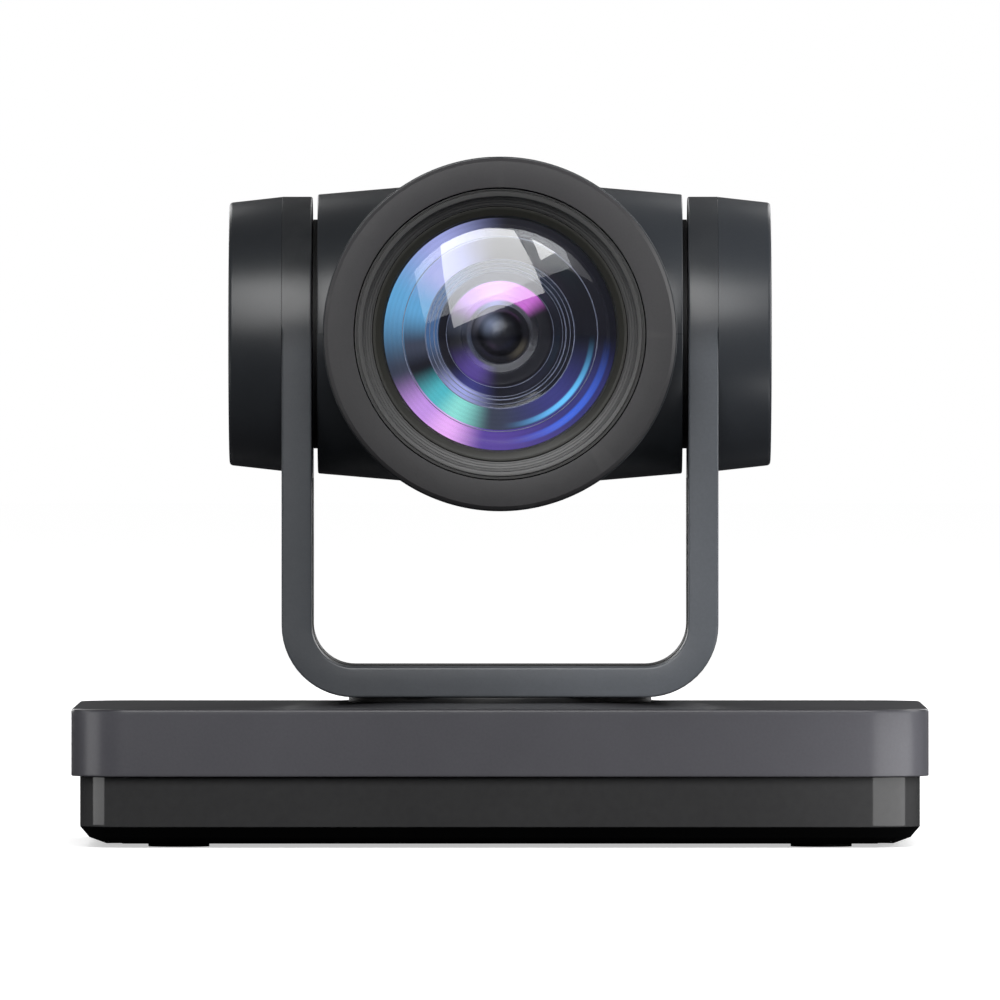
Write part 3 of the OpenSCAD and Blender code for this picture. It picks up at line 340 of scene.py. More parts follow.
def make_edge_highlight():
    """A painted highlight mask that is bright on outer edges, broken up by noise."""
    group, g = new_group(
        "painted_edge_highlight",
        [("Vector", "NodeSocketVector", (0, 0, 0)), ("Low", "NodeSocketFloat", 0.505),
         ("High", "NodeSocketFloat", 0.56)],
        [("Mask", "NodeSocketFloat")])
    source, target = group_io(group)
    geometry = g.add("ShaderNodeNewGeometry")
    edge = g.remap(geometry.outputs["Pointiness"], source.outputs["Low"], source.outputs["High"])
    broken = g.remap(g.noise(source.outputs["Vector"], 120.0, 4.0), 0.35, 0.65)
    g.link(g.math("MULTIPLY", edge, broken), target.inputs["Mask"])
    return group


def make_dust():
    """Settled dust on faces that look up."""
    group, g = new_group(
        "settled_dust",
        [("Vector", "NodeSocketVector", (0, 0, 0)), ("Amount", "NodeSocketFloat", 0.15)],
        [("Mask", "NodeSocketFloat")])
    source, target = group_io(group)
    geometry = g.add("ShaderNodeNewGeometry")
    split = g.add("ShaderNodeSeparateXYZ")
    g.link(geometry.outputs["Normal"], split.inputs[0])
    up = g.remap(split.outputs["Z"], 0.5, 1.0)
    specks = g.remap(g.noise(source.outputs["Vector"], 1500.0, 2.0), 0.62, 0.75)
    film = g.noise(source.outputs["Vector"], 20.0, 5.0)
    both = g.math("ADD", g.math("MULTIPLY", specks, 0.6), g.math("MULTIPLY", film, 0.4))
    g.link(g.math("MULTIPLY", g.math("MULTIPLY", both, up), source.outputs["Amount"]), target.inputs["Mask"])
    return group


def make_ring_zone():
    """A soft-edged ring mask between two radii, and the direction round the ring from 0 to 1."""
    group, g = new_group(
        "ring_zone",
        [("Point", "NodeSocketVector", (0, 0, 0)), ("Inner", "NodeSocketFloat", 0.01),
         ("Outer", "NodeSocketFloat", 0.02), ("Softness", "NodeSocketFloat", 0.001)],
        [("Mask", "NodeSocketFloat"), ("Turn", "NodeSocketFloat")])
    source, target = group_io(group)
    split = g.add("ShaderNodeSeparateXYZ")
    g.link(source.outputs["Point"], split.inputs[0])
    radius = g.vector_math("LENGTH", source.outputs["Point"])
    angle = g.math("ARCTAN2", split.outputs["Z"], split.outputs["X"])
    g.link(g.math("FRACT", g.math("ADD", g.math("DIVIDE", angle, 2 * math.pi), 1.0)), target.inputs["Turn"])
    soft = source.outputs["Softness"]
    inner, outer = source.outputs["Inner"], source.outputs["Outer"]
    rise = g.remap(radius, g.math("SUBTRACT", inner, soft), g.math("ADD", inner, soft), smooth=True)
    fall = g.remap(radius, g.math("SUBTRACT", outer, soft), g.math("ADD", outer, soft), 1.0, 0.0,
                   smooth=True)
    g.link(g.math("MULTIPLY", rise, fall), target.inputs["Mask"])
    return group


FINE = make_fine_texture()
EDGE_HIGHLIGHT = make_edge_highlight()
DUST = make_dust()
ZONE = make_ring_zone()


# ---------------------------------------------------------------- materials

def start_material(name):
    material = bpy.data.materials.new(name)
    material.use_nodes = True
    tree = material.node_tree
    tree.nodes.clear()
    g = Graph(tree)
    out = g.add("ShaderNodeOutputMaterial")
    shader = g.add("ShaderNodeBsdfPrincipled")
    g.link(shader.outputs[0], out.inputs["Surface"])
    coords = g.add("ShaderNodeTexCoord").outputs["Object"]
    return material, g, shader, out, coords


def surface(name, color, rough, metallic=0.0, vary=0.12, rough_vary=0.1, bump=0.02, grain=900.0,
            clouds=14.0, edge_highlight=0.0, edge_highlight_color=(0.3, 0.3, 0.31), dust=0.08, coat=0.0, specular=0.5,
            brushed=None, painted_shading=()):
    """A procedural finish on one Principled shader: colour variation, grain, a painted highlight on outer edges,
    settled dust and painted shading.
    A painted shade is (axis, start m, stop m, share of the colour at the start, share at the stop): the colour
    darkened or lightened along that axis where light falls less or more."""
    material, g, shader, _, coords = start_material(name)
    vector = coords
    if brushed:
        stretch = g.add("ShaderNodeVectorMath", operation="MULTIPLY")
        g.link(coords, stretch.inputs[0])
        stretch.inputs[1].default_value = brushed
        vector = stretch.outputs[0]
    fine = g.add("ShaderNodeGroup", node_tree=FINE)
    g.link(vector, fine.inputs["Vector"])
    fine.inputs["Grain Scale"].default_value = grain
    fine.inputs["Cloud Scale"].default_value = clouds
    dark = tuple(c * (1 - vary) for c in color)
    light = tuple(min(1, c * (1 + vary)) for c in color)
    tone = g.mix_color(g.remap(fine.outputs["Tone"], 0.3, 0.7), dark, light)
    # painted shading: the colour is darkened or lightened along an axis where the light falls less or more
    for axis, start, stop, share_start, share_stop in painted_shading:
        split = g.add("ShaderNodeSeparateXYZ")
        g.link(coords, split.inputs[0])
        share = g.remap(split.outputs[axis], start, stop, share_start, share_stop, smooth=True)
        tone = g.mix_color(1.0, tone, share, "MULTIPLY")
    # painted highlight: outer edges take a lighter colour
    edge_mask = g.add("ShaderNodeGroup", node_tree=EDGE_HIGHLIGHT)
    g.link(coords, edge_mask.inputs["Vector"])
    edge_highlight_amount = g.math("MULTIPLY", edge_mask.outputs["Mask"], edge_highlight)
    tone = g.mix_color(edge_highlight_amount, tone, edge_highlight_color)
    dusty = g.add("ShaderNodeGroup", node_tree=DUST)
    g.link(coords, dusty.inputs["Vector"])
    dusty.inputs["Amount"].default_value = dust
    tone = g.mix_color(dusty.outputs["Mask"], tone, (0.42, 0.41, 0.39))
    g.link(tone, shader.inputs["Base Color"])
    rough_value = g.math("ADD", g.math("MULTIPLY", fine.outputs["Rough"], rough_vary), rough)
    rough_value = g.math("ADD", rough_value, g.math("MULTIPLY", dusty.outputs["Mask"], 0.4), clamp=True)
    g.link(rough_value, shader.inputs["Roughness"])
    shader.inputs["Metallic"].default_value = metallic
    shader.inputs["Specular IOR Level"].default_value = specular
    shader.inputs["Coat Weight"].default_value = coat
    shader.inputs["Coat Roughness"].default_value = 0.06
    relief = g.add("ShaderNodeBump")
    relief.inputs["Strength"].default_value = bump
    relief.inputs["Distance"].default_value = 0.0004
    g.link(fine.outputs["Height"], relief.inputs["Height"])
    g.link(relief.outputs[0], shader.inputs["Normal"])
    return material


def lens_glass(name, tint, rough=0.0, ior=1.5, coat=0.0):
    """Clear glass that lets light through to what is behind it."""
    material, g, shader, out, coords = start_material(name)
    smear = g.remap(g.noise(coords, 60.0, 4.0, 0.7), 0.45, 0.8, rough, rough + 0.0015)
    g.link(smear, shader.inputs["Roughness"])
    shader.inputs["Base Color"].default_value = (*tint, 1)
    shader.inputs["Transmission Weight"].default_value = 1.0
    shader.inputs["IOR"].default_value = ior
    if coat:
        backfacing = g.add("ShaderNodeNewGeometry").outputs["Backfacing"]
        g.link(g.remap(backfacing, 0.0, 1.0, coat, 0.0), shader.inputs["Coat Weight"])
        shader.inputs["Coat IOR"].default_value = 1.9
        shader.inputs["Coat Roughness"].default_value = 0.0
    clear = g.add("ShaderNodeBsdfTransparent")
    clear.inputs[0].default_value = (*tint, 1)
    path = g.add("ShaderNodeLightPath")
    mix = g.add("ShaderNodeMixShader")
    g.link(path.outputs["Is Shadow Ray"], mix.inputs[0])
    g.link(shader.outputs[0], mix.inputs[1])
    g.link(clear.outputs[0], mix.inputs[2])
    g.link(mix.outputs[0], out.inputs["Surface"])
    return material


def painted_reflection_glass(name, zones, base=(0.003, 0.003, 0.006), rough=0.12, strength=1.15, coat=0.0):
    """A lens surface whose coating's coloured reflections are painted as a glow, not cast by the lamps. Each zone
    is (inner mm, outer mm, softness mm, stops) and may end with its own centre (x mm, z mm) from the lens axis. A
    stop is a direction in degrees from +X and the painted reflection colour there."""
    material, g, shader, _, coords = start_material(name)
    offset = g.vector_math("SUBTRACT", coords, (0, 0, AXIS_Z * MM))
    point = g.vector_math("MULTIPLY", offset, (1, 0, 1))
    color = None
    for inner, outer, softness, stops, *centre in zones:
        zone = g.add("ShaderNodeGroup", node_tree=ZONE)
        x, z = centre[0] if centre else (0, 0)
        g.link(g.vector_math("SUBTRACT", point, (x * MM, 0, z * MM)), zone.inputs["Point"])
        zone.inputs["Inner"].default_value = inner * MM
        zone.inputs["Outer"].default_value = outer * MM
        zone.inputs["Softness"].default_value = softness * MM
        ramp = g.add("ShaderNodeValToRGB")
        ramp.color_ramp.interpolation = "EASE"
        marks = ramp.color_ramp.elements
        while len(marks) < len(stops):
            marks.new(0.5)
        for mark, (angle, tint) in zip(marks, stops):
            mark.position = angle / 360
            mark.color = (*tint, 1)
        g.link(zone.outputs["Turn"], ramp.inputs[0])
        shown = g.mix_color(zone.outputs["Mask"], (0, 0, 0), ramp.outputs[0])
        color = shown if color is None else g.mix_color(1.0, color, shown, "ADD")
    rings = g.math("MULTIPLY", g.vector_math("LENGTH", point), 5200.0)
    ripple = g.remap(g.math("SINE", rings), -1.0, 1.0, 0.96, 1.03)
    streaks = g.math("MULTIPLY", g.remap(g.noise(point, 60.0, 2.0), 0.3, 0.7, 0.94, 1.05), ripple)
    # painted reflection: the coating colours glow from the emission socket
    g.link(g.mix_color(1.0, color, streaks, "MULTIPLY"), shader.inputs["Emission Color"])
    shader.inputs["Emission Strength"].default_value = strength
    shader.inputs["Base Color"].default_value = (*base, 1)
    shader.inputs["Coat Weight"].default_value = coat
    haze = g.remap(g.noise(point, 300.0), 0.3, 0.7, 0.0, 0.04)
    g.link(g.math("ADD", haze, rough), shader.inputs["Roughness"])
    return material


def tints(*stops):
    """Colour stops from (degrees, painted reflection colour name); the ring closes on its first colour."""
    made = [(angle, PAINTED_REFLECTION_COLOURS[tint]) for angle, tint in stops]
    return made + [(360, made[0][1])]


def srgb(r, g, b):
    """Linear colour from 0 to 255 values."""
    def one(v):
        v /= 255
        return v / 12.92 if v <= 0.04045 else ((v + 0.055) / 1.055) ** 2.4
    return (one(r), one(g), one(b))


# Painted reflection colours of the lens coatings; glint is a painted highlight.
PAINTED_REFLECTION_COLOURS = {
    "none": srgb(0, 0, 0), "baffle": srgb(25, 25, 30), "smoke": srgb(40, 40, 45),
    "slate": srgb(60, 65, 80), "grey": srgb(90, 90, 100), "sky": srgb(100, 165, 210),
    "steel_blue": srgb(70, 100, 140), "haze": srgb(160, 165, 220), "teal": srgb(80, 180, 190),
    "mint": srgb(140, 220, 210), "cyan": srgb(90, 190, 235), "royal": srgb(15, 85, 190),
    "violet": srgb(60, 60, 120), "plum": srgb(90, 70, 150), "lilac": srgb(200, 150, 230),
    "pink": srgb(235, 175, 245), "magenta": srgb(220, 120, 225), "glint": srgb(130, 140, 165),
    "amber": srgb(75, 70, 60),
}

MAT = {
    # painted shade: the cover's top is darker than its sides; its edges get a painted highlight
    "paint": surface("satin_grey_paint", (0.122, 0.121, 0.137), 0.3, bump=0.05, grain=1400, edge_highlight=0.25,
                     edge_highlight_color=(0.14, 0.14, 0.145), dust=0.05,
                     painted_shading=(("Z", (COVER_TOP - 1.0) * MM, (COVER_TOP - 0.2) * MM, 1.0, 0.55),)),
    # painted shade and light: the arm is darker above the tilt axis and lighter towards +X; its edges get a
    # painted highlight
    "arm_paint": surface("satin_arm_paint", (0.088, 0.096, 0.108), 0.34, bump=0.05, grain=1400, edge_highlight=0.3,
                         edge_highlight_color=(0.16, 0.165, 0.17), dust=0.04, specular=0.7,
                         painted_shading=(("Z", 0.126, 0.142, 1.0, 0.32), ("X", -0.05, 0.05, 0.94, 1.85))),
    # painted light: the drum paint is lighter towards +X; its edges get a painted highlight
    "drum_paint": surface("satin_blue_grey_paint", (0.033, 0.037, 0.043), 0.35,
                          bump=0.03, grain=1500, edge_highlight=0.2,
                          edge_highlight_color=(0.1, 0.11, 0.12), dust=0.03, specular=0.75,
                          painted_shading=(("X", -0.05, 0.05, 0.85, 1.7),)),
    # painted shade and light: the ring is darker towards the bottom and lighter towards +X; its edges get a
    # painted highlight
    "bezel_paint": surface("satin_ring_paint", (0.09, 0.088, 0.093), 0.45, bump=0.05, grain=1600, edge_highlight=0.2,
                           edge_highlight_color=(0.15, 0.15, 0.15), dust=0.03,
                           painted_shading=(("Z", 0.09, 0.178, 0.66, 1.0), ("X", -0.045, 0.045, 0.9, 1.03))),
    "gloss": surface("gloss_black", (0.06, 0.06, 0.061), 0.08,
                     bump=0.004, grain=500, rough_vary=0.04, dust=0.03),
    "tray": surface("black_powder_coat", (0.0015, 0.0015, 0.0016), 0.6,
                    bump=0.2, grain=1100, dust=0.02, specular=0.12),
    "rubber": surface("moulded_rubber", (0.018, 0.018, 0.018), 0.75, bump=0.15, grain=700, dust=0.12),
    "brass": surface("machined_brass", (0.6, 0.42, 0.17), 0.28,
                     metallic=1, bump=0.08, grain=500, brushed=(1, 1, 25)),
    "steel": surface("zinc_steel", (0.42, 0.43, 0.45), 0.35, metallic=1, bump=0.1, grain=600, vary=0.2),
    "ground_steel": surface("ground_steel", (0.6, 0.6, 0.62), 0.15,
                            metallic=1, bump=0.04, grain=900, brushed=(1, 30, 1)),
    "panel": surface("textured_black_plastic", (0.02, 0.02, 0.021), 0.55, bump=0.25, grain=1000, dust=0.05),
    "disc": surface("dark_disc_plastic", (0.006, 0.0065, 0.007), 0.45, bump=0.1, grain=900, dust=0.02),
    "green": surface("solder_mask", (0.012, 0.09, 0.035), 0.35, bump=0.12, grain=260, vary=0.3, coat=0.3),
    "chip": surface("epoxy_chip", (0.015, 0.015, 0.017), 0.5, bump=0.2, grain=1200),
    "nickel": surface("nickel_shell", (0.55, 0.54, 0.52), 0.25,
                      metallic=1, bump=0.06, grain=600, brushed=(20, 1, 1)),
    "jack": surface("green_jack", (0.03, 0.2, 0.08), 0.4, bump=0.05),
    "tinted": surface("tinted_resin", (0.08, 0.012, 0.012), 0.12, bump=0.01, coat=0.5),
    "aluminium": surface("turned_aluminium", (0.62, 0.63, 0.65), 0.3,
                         metallic=1, bump=0.08, grain=500, brushed=(1, 1, 30)),
    "acetal": surface("natural_acetal", (0.68, 0.66, 0.58), 0.4, bump=0.04, grain=500),
    "trim": surface("anodised_trim", (0.12, 0.12, 0.12), 0.35, bump=0.03, grain=900, dust=0.0),
    "olive": surface("anodised_retainer", (0.04, 0.04, 0.034), 0.38, bump=0.08, grain=900, dust=0.0),
    "lens_black": surface("baffle_black", (0.004, 0.004, 0.005), 0.25, bump=0.05, grain=800, dust=0.0),
    "glass_edge": surface("ground_glass_edge", (0.3, 0.32, 0.42), 0.3,
                          bump=0.02, grain=900, dust=0.0, coat=0.5),
    "front_glass": lens_glass("front_coated_glass", (0.95, 0.97, 1.0), coat=0.5),
    "inner_glass": lens_glass("inner_coated_glass", (0.8, 0.7, 0.95)),
}

SLOT_MATERIAL = {
    "painted_metal_dark": "paint", "painted_drum": "drum_paint", "gloss_black": "gloss",
    "black_steel": "tray", "rubber": "rubber", "brass": "brass", "steel": "steel",
    "bright_steel": "ground_steel", "panel_black": "panel", "board_green": "green", "chip": "chip",
    "socket_metal": "nickel", "jack_green": "jack", "indicator": "tinted", "aluminium": "aluminium",
    "acetal": "acetal", "bezel": "bezel_paint", "lens_black": "lens_black",
    "front_glass": "front_glass", "inner_glass": "inner_glass",
}
NODE_SLOT = {s["node"]: s["material_slot"] for s in frame["record"]["subparts"]}


def set_material(obj, key):
    obj.data.materials.clear()
    obj.data.materials.append(MAT[key] if isinstance(key, str) else key)


def finish_piece(obj, key, body, nodes=()):
    """Gives a piece its finish, its body and the CAD nodes it stands for."""
    set_material(obj, key)
    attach(obj, body)
    if nodes:
        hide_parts(*nodes)
    return obj


ROUNDED_NODES = ("rear_panel", "base_tray", "feet", "dc_jack", "hdmi_port", "usb_port", "lan_port",
                 "audio_jacks", "serial_ports")
EDGE_ROUNDING = 0.12


def dress_cad_nodes():
    """Gives every carried-over node its finish, and rounds the edges of those that are in view."""
    for name, obj in frame["nodes"].items():
        set_material(obj, SLOT_MATERIAL[NODE_SLOT[name]])
        if name in ROUNDED_NODES:
            bevel(obj, EDGE_ROUNDING)


# ---------------------------------------------------------------- base

def rect_loop(half_w, half_d, radius, z):
    return round_rect_points(half_w, half_d, radius), z


def circle_like(points, radius, z):
    """A circle whose points lie in the same directions as another loop's."""
    out = []
    for x, y in points:
        a = math.atan2(y, x)
        out.append((radius * math.cos(a), radius * math.sin(a)))
    return out, z


def window_tool(name):
    low, high = node_box("rear_panel")
    edge = 2.2
    floor = BAND_LOW[2] + 1.2 + edge
    roof = high[2] - 1 - edge
    return box_mesh(name, (low[0] + edge, high[1] - 0.4, floor), (high[0] - edge, COVER_HIGH[1] + 5, roof))


def build_base_cover():
    hw, hd = COVER_HIGH[0], COVER_HIGH[1]
    corner, top, low = 16, COVER_TOP, BAND_HIGH[2]
    outline = fillet([(1.2, low), (0, low, 0.35), (0, low + 0.8), (0, top - 1.4), (0, top, 0.8), (10, top)],
                     closed=False, steps=4)
    loops = [rect_loop(hw - i, hd - i, max(corner - i, 1), z) for i, z in outline]
    shape = loops[-1][0]
    for k in range(1, 4):
        t = k / 4
        ring, _ = circle_like(shape, 60, top)
        between = [((1 - t) * a + t * b, (1 - t) * c + t * d) for (a, c), (b, d) in zip(shape, ring)]
        loops.append((between, top))
    plinth = [(61, top), (57.5, top, 6), (47, PLINTH_TOP - 0.15, 5), (43.5, PLINTH_TOP, 0.6),
              (40.5, PLINTH_TOP, 0.3), (40.5, top - 2)]
    for radius, z in fillet(plinth, closed=False, steps=5):
        loops.append(circle_like(shape, radius, z))
    inner = round_rect_points(hw - 2, hd - 2, corner - 2)
    loops.append((inner, top - 2))
    loops.append((inner, low))
    skin = loft("base_cover_skin", loops, closed=True)
    cut_with(skin, window_tool("window"))
    finish_piece(skin, "paint", "base", ["base_cover"])


def build_base_band():
    hw, hd = BAND_HIGH[0], BAND_HIGH[1]
    corner = 13.7
    low, high = BAND_LOW[2], BAND_HIGH[2]
    outline = fillet([(2.4, low), (0, low, 0.25), (0, low + 0.6), (0, high - 0.6), (0, high, 0.25),
                      (2.4, high)], closed=False)
    loops = [rect_loop(hw - i, hd - i, corner - i, z) for i, z in outline]
    skin = loft("base_band_skin", loops, closed=True)
    cut_with(skin, window_tool("window"))
    finish_piece(skin, "gloss", "base", ["base_band"])


def build_turntable():
    low, high = node_box("turntable")
    r = high[0]
    outline = fillet([(6, low[2]), (r, low[2], 0.25), (r, high[2], 0.35), (6, high[2])])
    skin = lathe("turntable_skin", outline, "up")
    finish_piece(skin, "disc", "yoke", ["turntable"])


# ---------------------------------------------------------------- yoke

def yoke_path():
    """The inner face of half the U as (x, z, normal x, normal z), from the bar's middle to the tilt axis."""
    r = 11
    top = YOKE_Z + ARM_T
    path = [(YOKE_HALF * t, top, 0, -1) for t in (0, 0.2, 0.4, 0.6)]
    cx, cz = YOKE_HALF - r, top + r
    for k in range(15):
        a = math.radians(-90 + 90 * k / 14)
        path.append((cx + r * math.cos(a), cz + r * math.sin(a), math.cos(a), math.sin(a)))
    for t in (0.25, 0.5, 0.75, 1.0):
        path.append((YOKE_HALF, cz + (AXIS_Z - cz) * t, 1, 0))
    return path


def half_section(outer_bevel=0.7):
    """Across half of the arm: (depth into the wall, distance from the middle)."""
    r = ARM_R
    return fillet([(0, 0), (0, r * 0.5), (0, r, 0.6), (ARM_T, r, outer_bevel), (ARM_T, r * 0.5), (ARM_T, 0)],
                  closed=False, steps=4)


def build_yoke():
    section, top_section = half_section(), half_section(0.04)
    path = yoke_path()
    stations = []
    for x, z, nx, nz in path:
        stations.append([(x + n * nx, -d, z + n * nz) for n, d in section])
    turns = 48
    for k in range(1, turns):
        a = -math.pi / 2 + math.pi * k / turns
        stations.append([(YOKE_HALF + n, d * math.sin(a), AXIS_Z + d * math.cos(a)) for n, d in top_section])
    for x, z, nx, nz in reversed(path):
        stations.append([(x + n * nx, d, z + n * nz) for n, d in section])
    count = len(section)
    verts, faces = [], []
    for side in (1, -1):
        base = len(verts)
        for row in stations:
            verts += [(side * x, y, z) for x, y, z in row]
        for i in range(len(stations) - 1):
            for j in range(count - 1):
                a = base + i * count + j
                faces.append((a, a + 1, a + count + 1, a + count))
    skin = new_object("yoke_skin", verts, faces, sharp_deg=40)
    for side in (1, -1):
        bush_hole = plug("bush_hole", side, 9.6, YOKE_HALF - 1, YOKE_HALF + 5)
        cut_with(skin, bush_hole, sharp_deg=40)
        cap_pocket = plug("cap_pocket", side, 33, YOKE_HALF + 2, YOKE_OUT + 2, 96)
        cut_with(skin, cap_pocket, sharp_deg=40)
    finish_piece(skin, "arm_paint", "yoke", ["yoke_frame"])
    build_liner(path)


def build_liner(path):
    """A cable cover strip along the inside of the U."""
    half, rise, sink = 11.6, 0.22, 0.4
    section = fillet([(-rise, -half, 0.2), (-rise, half, 0.2), (sink, half), (sink, -half)], steps=3)
    low = [p for p in path if p[1] < AXIS_Z - 38]
    low.append((YOKE_HALF, AXIS_Z - 38, 1, 0))
    both = [(-x, z, -nx, nz) for x, z, nx, nz in reversed(low)] + low[1:]
    verts, faces = [], []
    count = len(section)
    for x, z, nx, nz in both:
        verts += [(x + n * nx, d, z + n * nz) for n, d in section]
    for i in range(len(both) - 1):
        for j in range(count):
            k = (j + 1) % count
            faces.append((i * count + j, i * count + k, (i + 1) * count + k, (i + 1) * count + j))
    faces.append(tuple(range(count)))
    faces.append(tuple(range((len(both) - 1) * count, len(both) * count)))
    liner = new_object("yoke_liner_skin", verts, faces)
    finish_piece(liner, "panel", "yoke", ["yoke_liner"])


def build_drum_caps():
    x0, x1 = YOKE_OUT, DRUM_HIGH[0]
    root, end = ARM_R - 0.03, 34.6
    for side, name in ((1, "drum_cap_right"), (-1, "drum_cap_left")):
        outline = fillet([(31.4, x0 - 2.5), (32.8, x0 - 2.5, 0.2), (32.8, x0 + 0.04),
                          (root, x0 + 0.04, 0.05), (end, x1, 1.1), (0, x1), (0, x1 - 2),
                          (end - 2, x1 - 2, 0.8), (32.2, x0 + 1), (31.4, x0 + 1)], steps=5)
        skin = lathe(name + "_skin", [(r, side * a) for r, a in outline], "side", 160)
        finish_piece(skin, "drum_paint", "yoke", [name])


# ---------------------------------------------------------------- head

def barrel_outline(inset, half, edge):
    """Half of the barrel's outline from its middle: a soft crown that runs into a straight taper."""
    pts = []
    for x in (0, 4, 8, 12, 16, 20, 24):
        pts.append((39.8 - 0.00163 * x * x - inset, x))
    pts.append((38.6 - inset, 27))
    end_r = 38.6 - (half - 27) * 0.086 - inset
    pts.append((end_r, half, edge))
    return pts


def barrel_solid(name, inset, half, edge=0.0):
    right = barrel_outline(inset, half, edge)
    left = [(p[0], -p[1], *p[2:]) for p in reversed(right[1:])]
    outline = fillet([(0, -half)] + left + right + [(0, half)], closed=False, steps=3)
    return lathe(name, outline, "side", 192, closed=False, sharp_deg=25)


def tube_solid(name, inset, front, back, edge):
    radius = TUBE_R - inset
    outline = fillet([(0, back), (38.4 - inset, back), (radius, 24, 14), (radius, front, edge), (0, front)],
                     closed=False, steps=6)
    return lathe(name, outline, "front", 192, closed=False, sharp_deg=25)


def build_head_shells():
    seam = 0.07
    reach = 80
    halves = (("head_upper", AXIS_Z + seam, AXIS_Z + reach), ("head_lower", AXIS_Z - reach, AXIS_Z - seam))
    for name, low, high in halves:
        skin = barrel_solid(name + "_skin", 0, BARREL_HALF, 0.5)
        cut_with(skin, tube_solid("tube", 0, TUBE_EDGE, -8, 0.45), "UNION", 25)
        cut_with(skin, barrel_solid("inside", 2.2, BARREL_HALF - 2), "DIFFERENCE", 25)
        cut_with(skin, tube_solid("inside", 2.2, TUBE_FRONT + 2, -5.9, 0), "DIFFERENCE", 25)
        cut_with(skin, box_mesh("half", (-90, -90, low), (90, 90, high)), "INTERSECT", 25)
        for side in (1, -1):
            cut_with(skin, plug("trunnion_hole", side, 12, 44, 50), "DIFFERENCE", 25)
        if name == "head_upper":
            crown = AXIS_Z + TUBE_R
            mark = box_mesh("mark", (-2.6, -TUBE_EDGE - 1, crown - 0.45), (0.9, -TUBE_EDGE + 2.5, crown + 2))
            cut_with(skin, mark, "DIFFERENCE", 25)
        finish_piece(skin, "drum_paint", "head", [name])


def build_front_rings():
    f = TUBE_FRONT
    inner = GLASS_R + 7.75
    outer = TUBE_R - 0.4
    shell_in = TUBE_R - 2.4
    bezel = fillet([(inner, f - 7.5), (shell_in, f - 7.5), (shell_in, TUBE_EDGE + 0.25),
                    (outer - 0.15, TUBE_EDGE + 0.25, 0.15), (outer, TUBE_EDGE + 0.45),
                    (outer, f - 0.95, 0.12), (outer - 0.9, f, 0.1), (inner, f, 0.18)], steps=3)
    bezel_skin = lathe("lens_bezel_skin", bezel, "front", 192, sharp_deg=28)
    finish_piece(bezel_skin, "bezel_paint", "head", ["lens_bezel"])

    out = inner - 0.25
    tin = GLASS_R + 2.95
    trim = fillet([(tin, GLASS_SEAT), (out, GLASS_SEAT), (out, f - 1.4, 0.1), (out - 0.4, f - 1.3, 0.1),
                   (out - 0.55, f - 1.8, 0.05), (out - 0.75, f - 1.8, 0.05), (out - 0.9, f - 1.2, 0.1),
                   (out - 2.0, f - 1.4, 0.15), (out - 2.15, f - 3.3, 0.05), (out - 2.7, f - 3.5, 0.1),
                   (out - 2.8, f - 4.2, 0.06), (out - 3.4, f - 4.3, 0.1), (out - 3.5, f - 4.9, 0.06),
                   (out - 4.1, f - 5.0, 0.1), (out - 4.2, f - 5.5, 0.06), (tin, f - 5.6, 0.1)], steps=3)
    finish_piece(lathe("trim_ring_skin", trim, "front", 192, sharp_deg=28), "trim", "head", ["trim_ring"])

    g0 = GLASS_SEAT
    ring = fillet([(GLASS_R, g0), (GLASS_R + 2.8, g0), (GLASS_R + 2.8, g0 + 4.2, 0.15),
                   (GLASS_R + 2.0, g0 + 4.1, 0.1), (GLASS_R + 0.5, g0 + 3.4, 0.15),
                   (GLASS_R + 0.3, g0 + 2.9, 0.1), (GLASS_R, g0 + 2.5, 0.1)], steps=3)
    finish_piece(lathe("glass_ring_skin", ring, "front", 192, sharp_deg=28), "olive", "head", ["glass_ring"])


def arc_points(radius_of_curve, r_from, r_to, vertex, steps=20):
    """Points on a dome: (radius, distance) with the dome's top at the vertex."""
    pts = []
    for k in range(steps + 1):
        r = r_from + (r_to - r_from) * k / steps
        pts.append((r, vertex - abs(radius_of_curve) + math.sqrt(radius_of_curve ** 2 - r * r)))
    return pts


def build_front_glass():
    r = GLASS_R - 0.1
    rise = 7
    front_curve = (r * r + rise * rise) / (2 * rise)
    front = arc_points(front_curve, 0, r, GLASS_TOP)
    back = arc_points(BACK_CURVE, r, 0, GLASS_SEAT)
    outline = front + [(r, GLASS_SEAT - 4.4)] + back
    glass = lathe("front_glass_skin", outline, "front", 160, closed=False, sharp_deg=40)
    finish_piece(glass, "front_glass", "head", ["front_glass"])


def build_lens_barrel():
    f = BARREL_FRONT
    outline = [(25, -20), (27, -20), (27, 28), (39.4, 28), (39.4, 52), (30.6, 52), (30.6, f), (30.3, f, 0.1),
               (29.9, f - 1.4, 0.2), (26.2, f - 5.5, 0.2), (25.6, f - 5.2, 0.15), (25.1, f - 5.4, 0.15),
               (24.8, f - 6.4, 0.1), (19.2, f - 11.5, 0.2), (18.9, f - 11.1, 0.12), (18.5, f - 11.4, 0.15),
               (18.2, f - 12.2, 0.1), (17.3, f - 12.6, 0.1), (17.0, f - 12.3, 0.1), (16.6, f - 12.6, 0.1),
               (16.3, f - 13.4, 0.1), (14.6, f - 14.6, 0.15), (13.9, f - 14.4, 0.15), (13.2, f - 15.2, 0.1),
               (13.2, 29.4), (25, 29.4)]
    barrel = lathe("lens_barrel_skin", fillet(outline, steps=3), "front", 160, sharp_deg=30)
    finish_piece(barrel, "lens_black", "head", ["lens_barrel"])


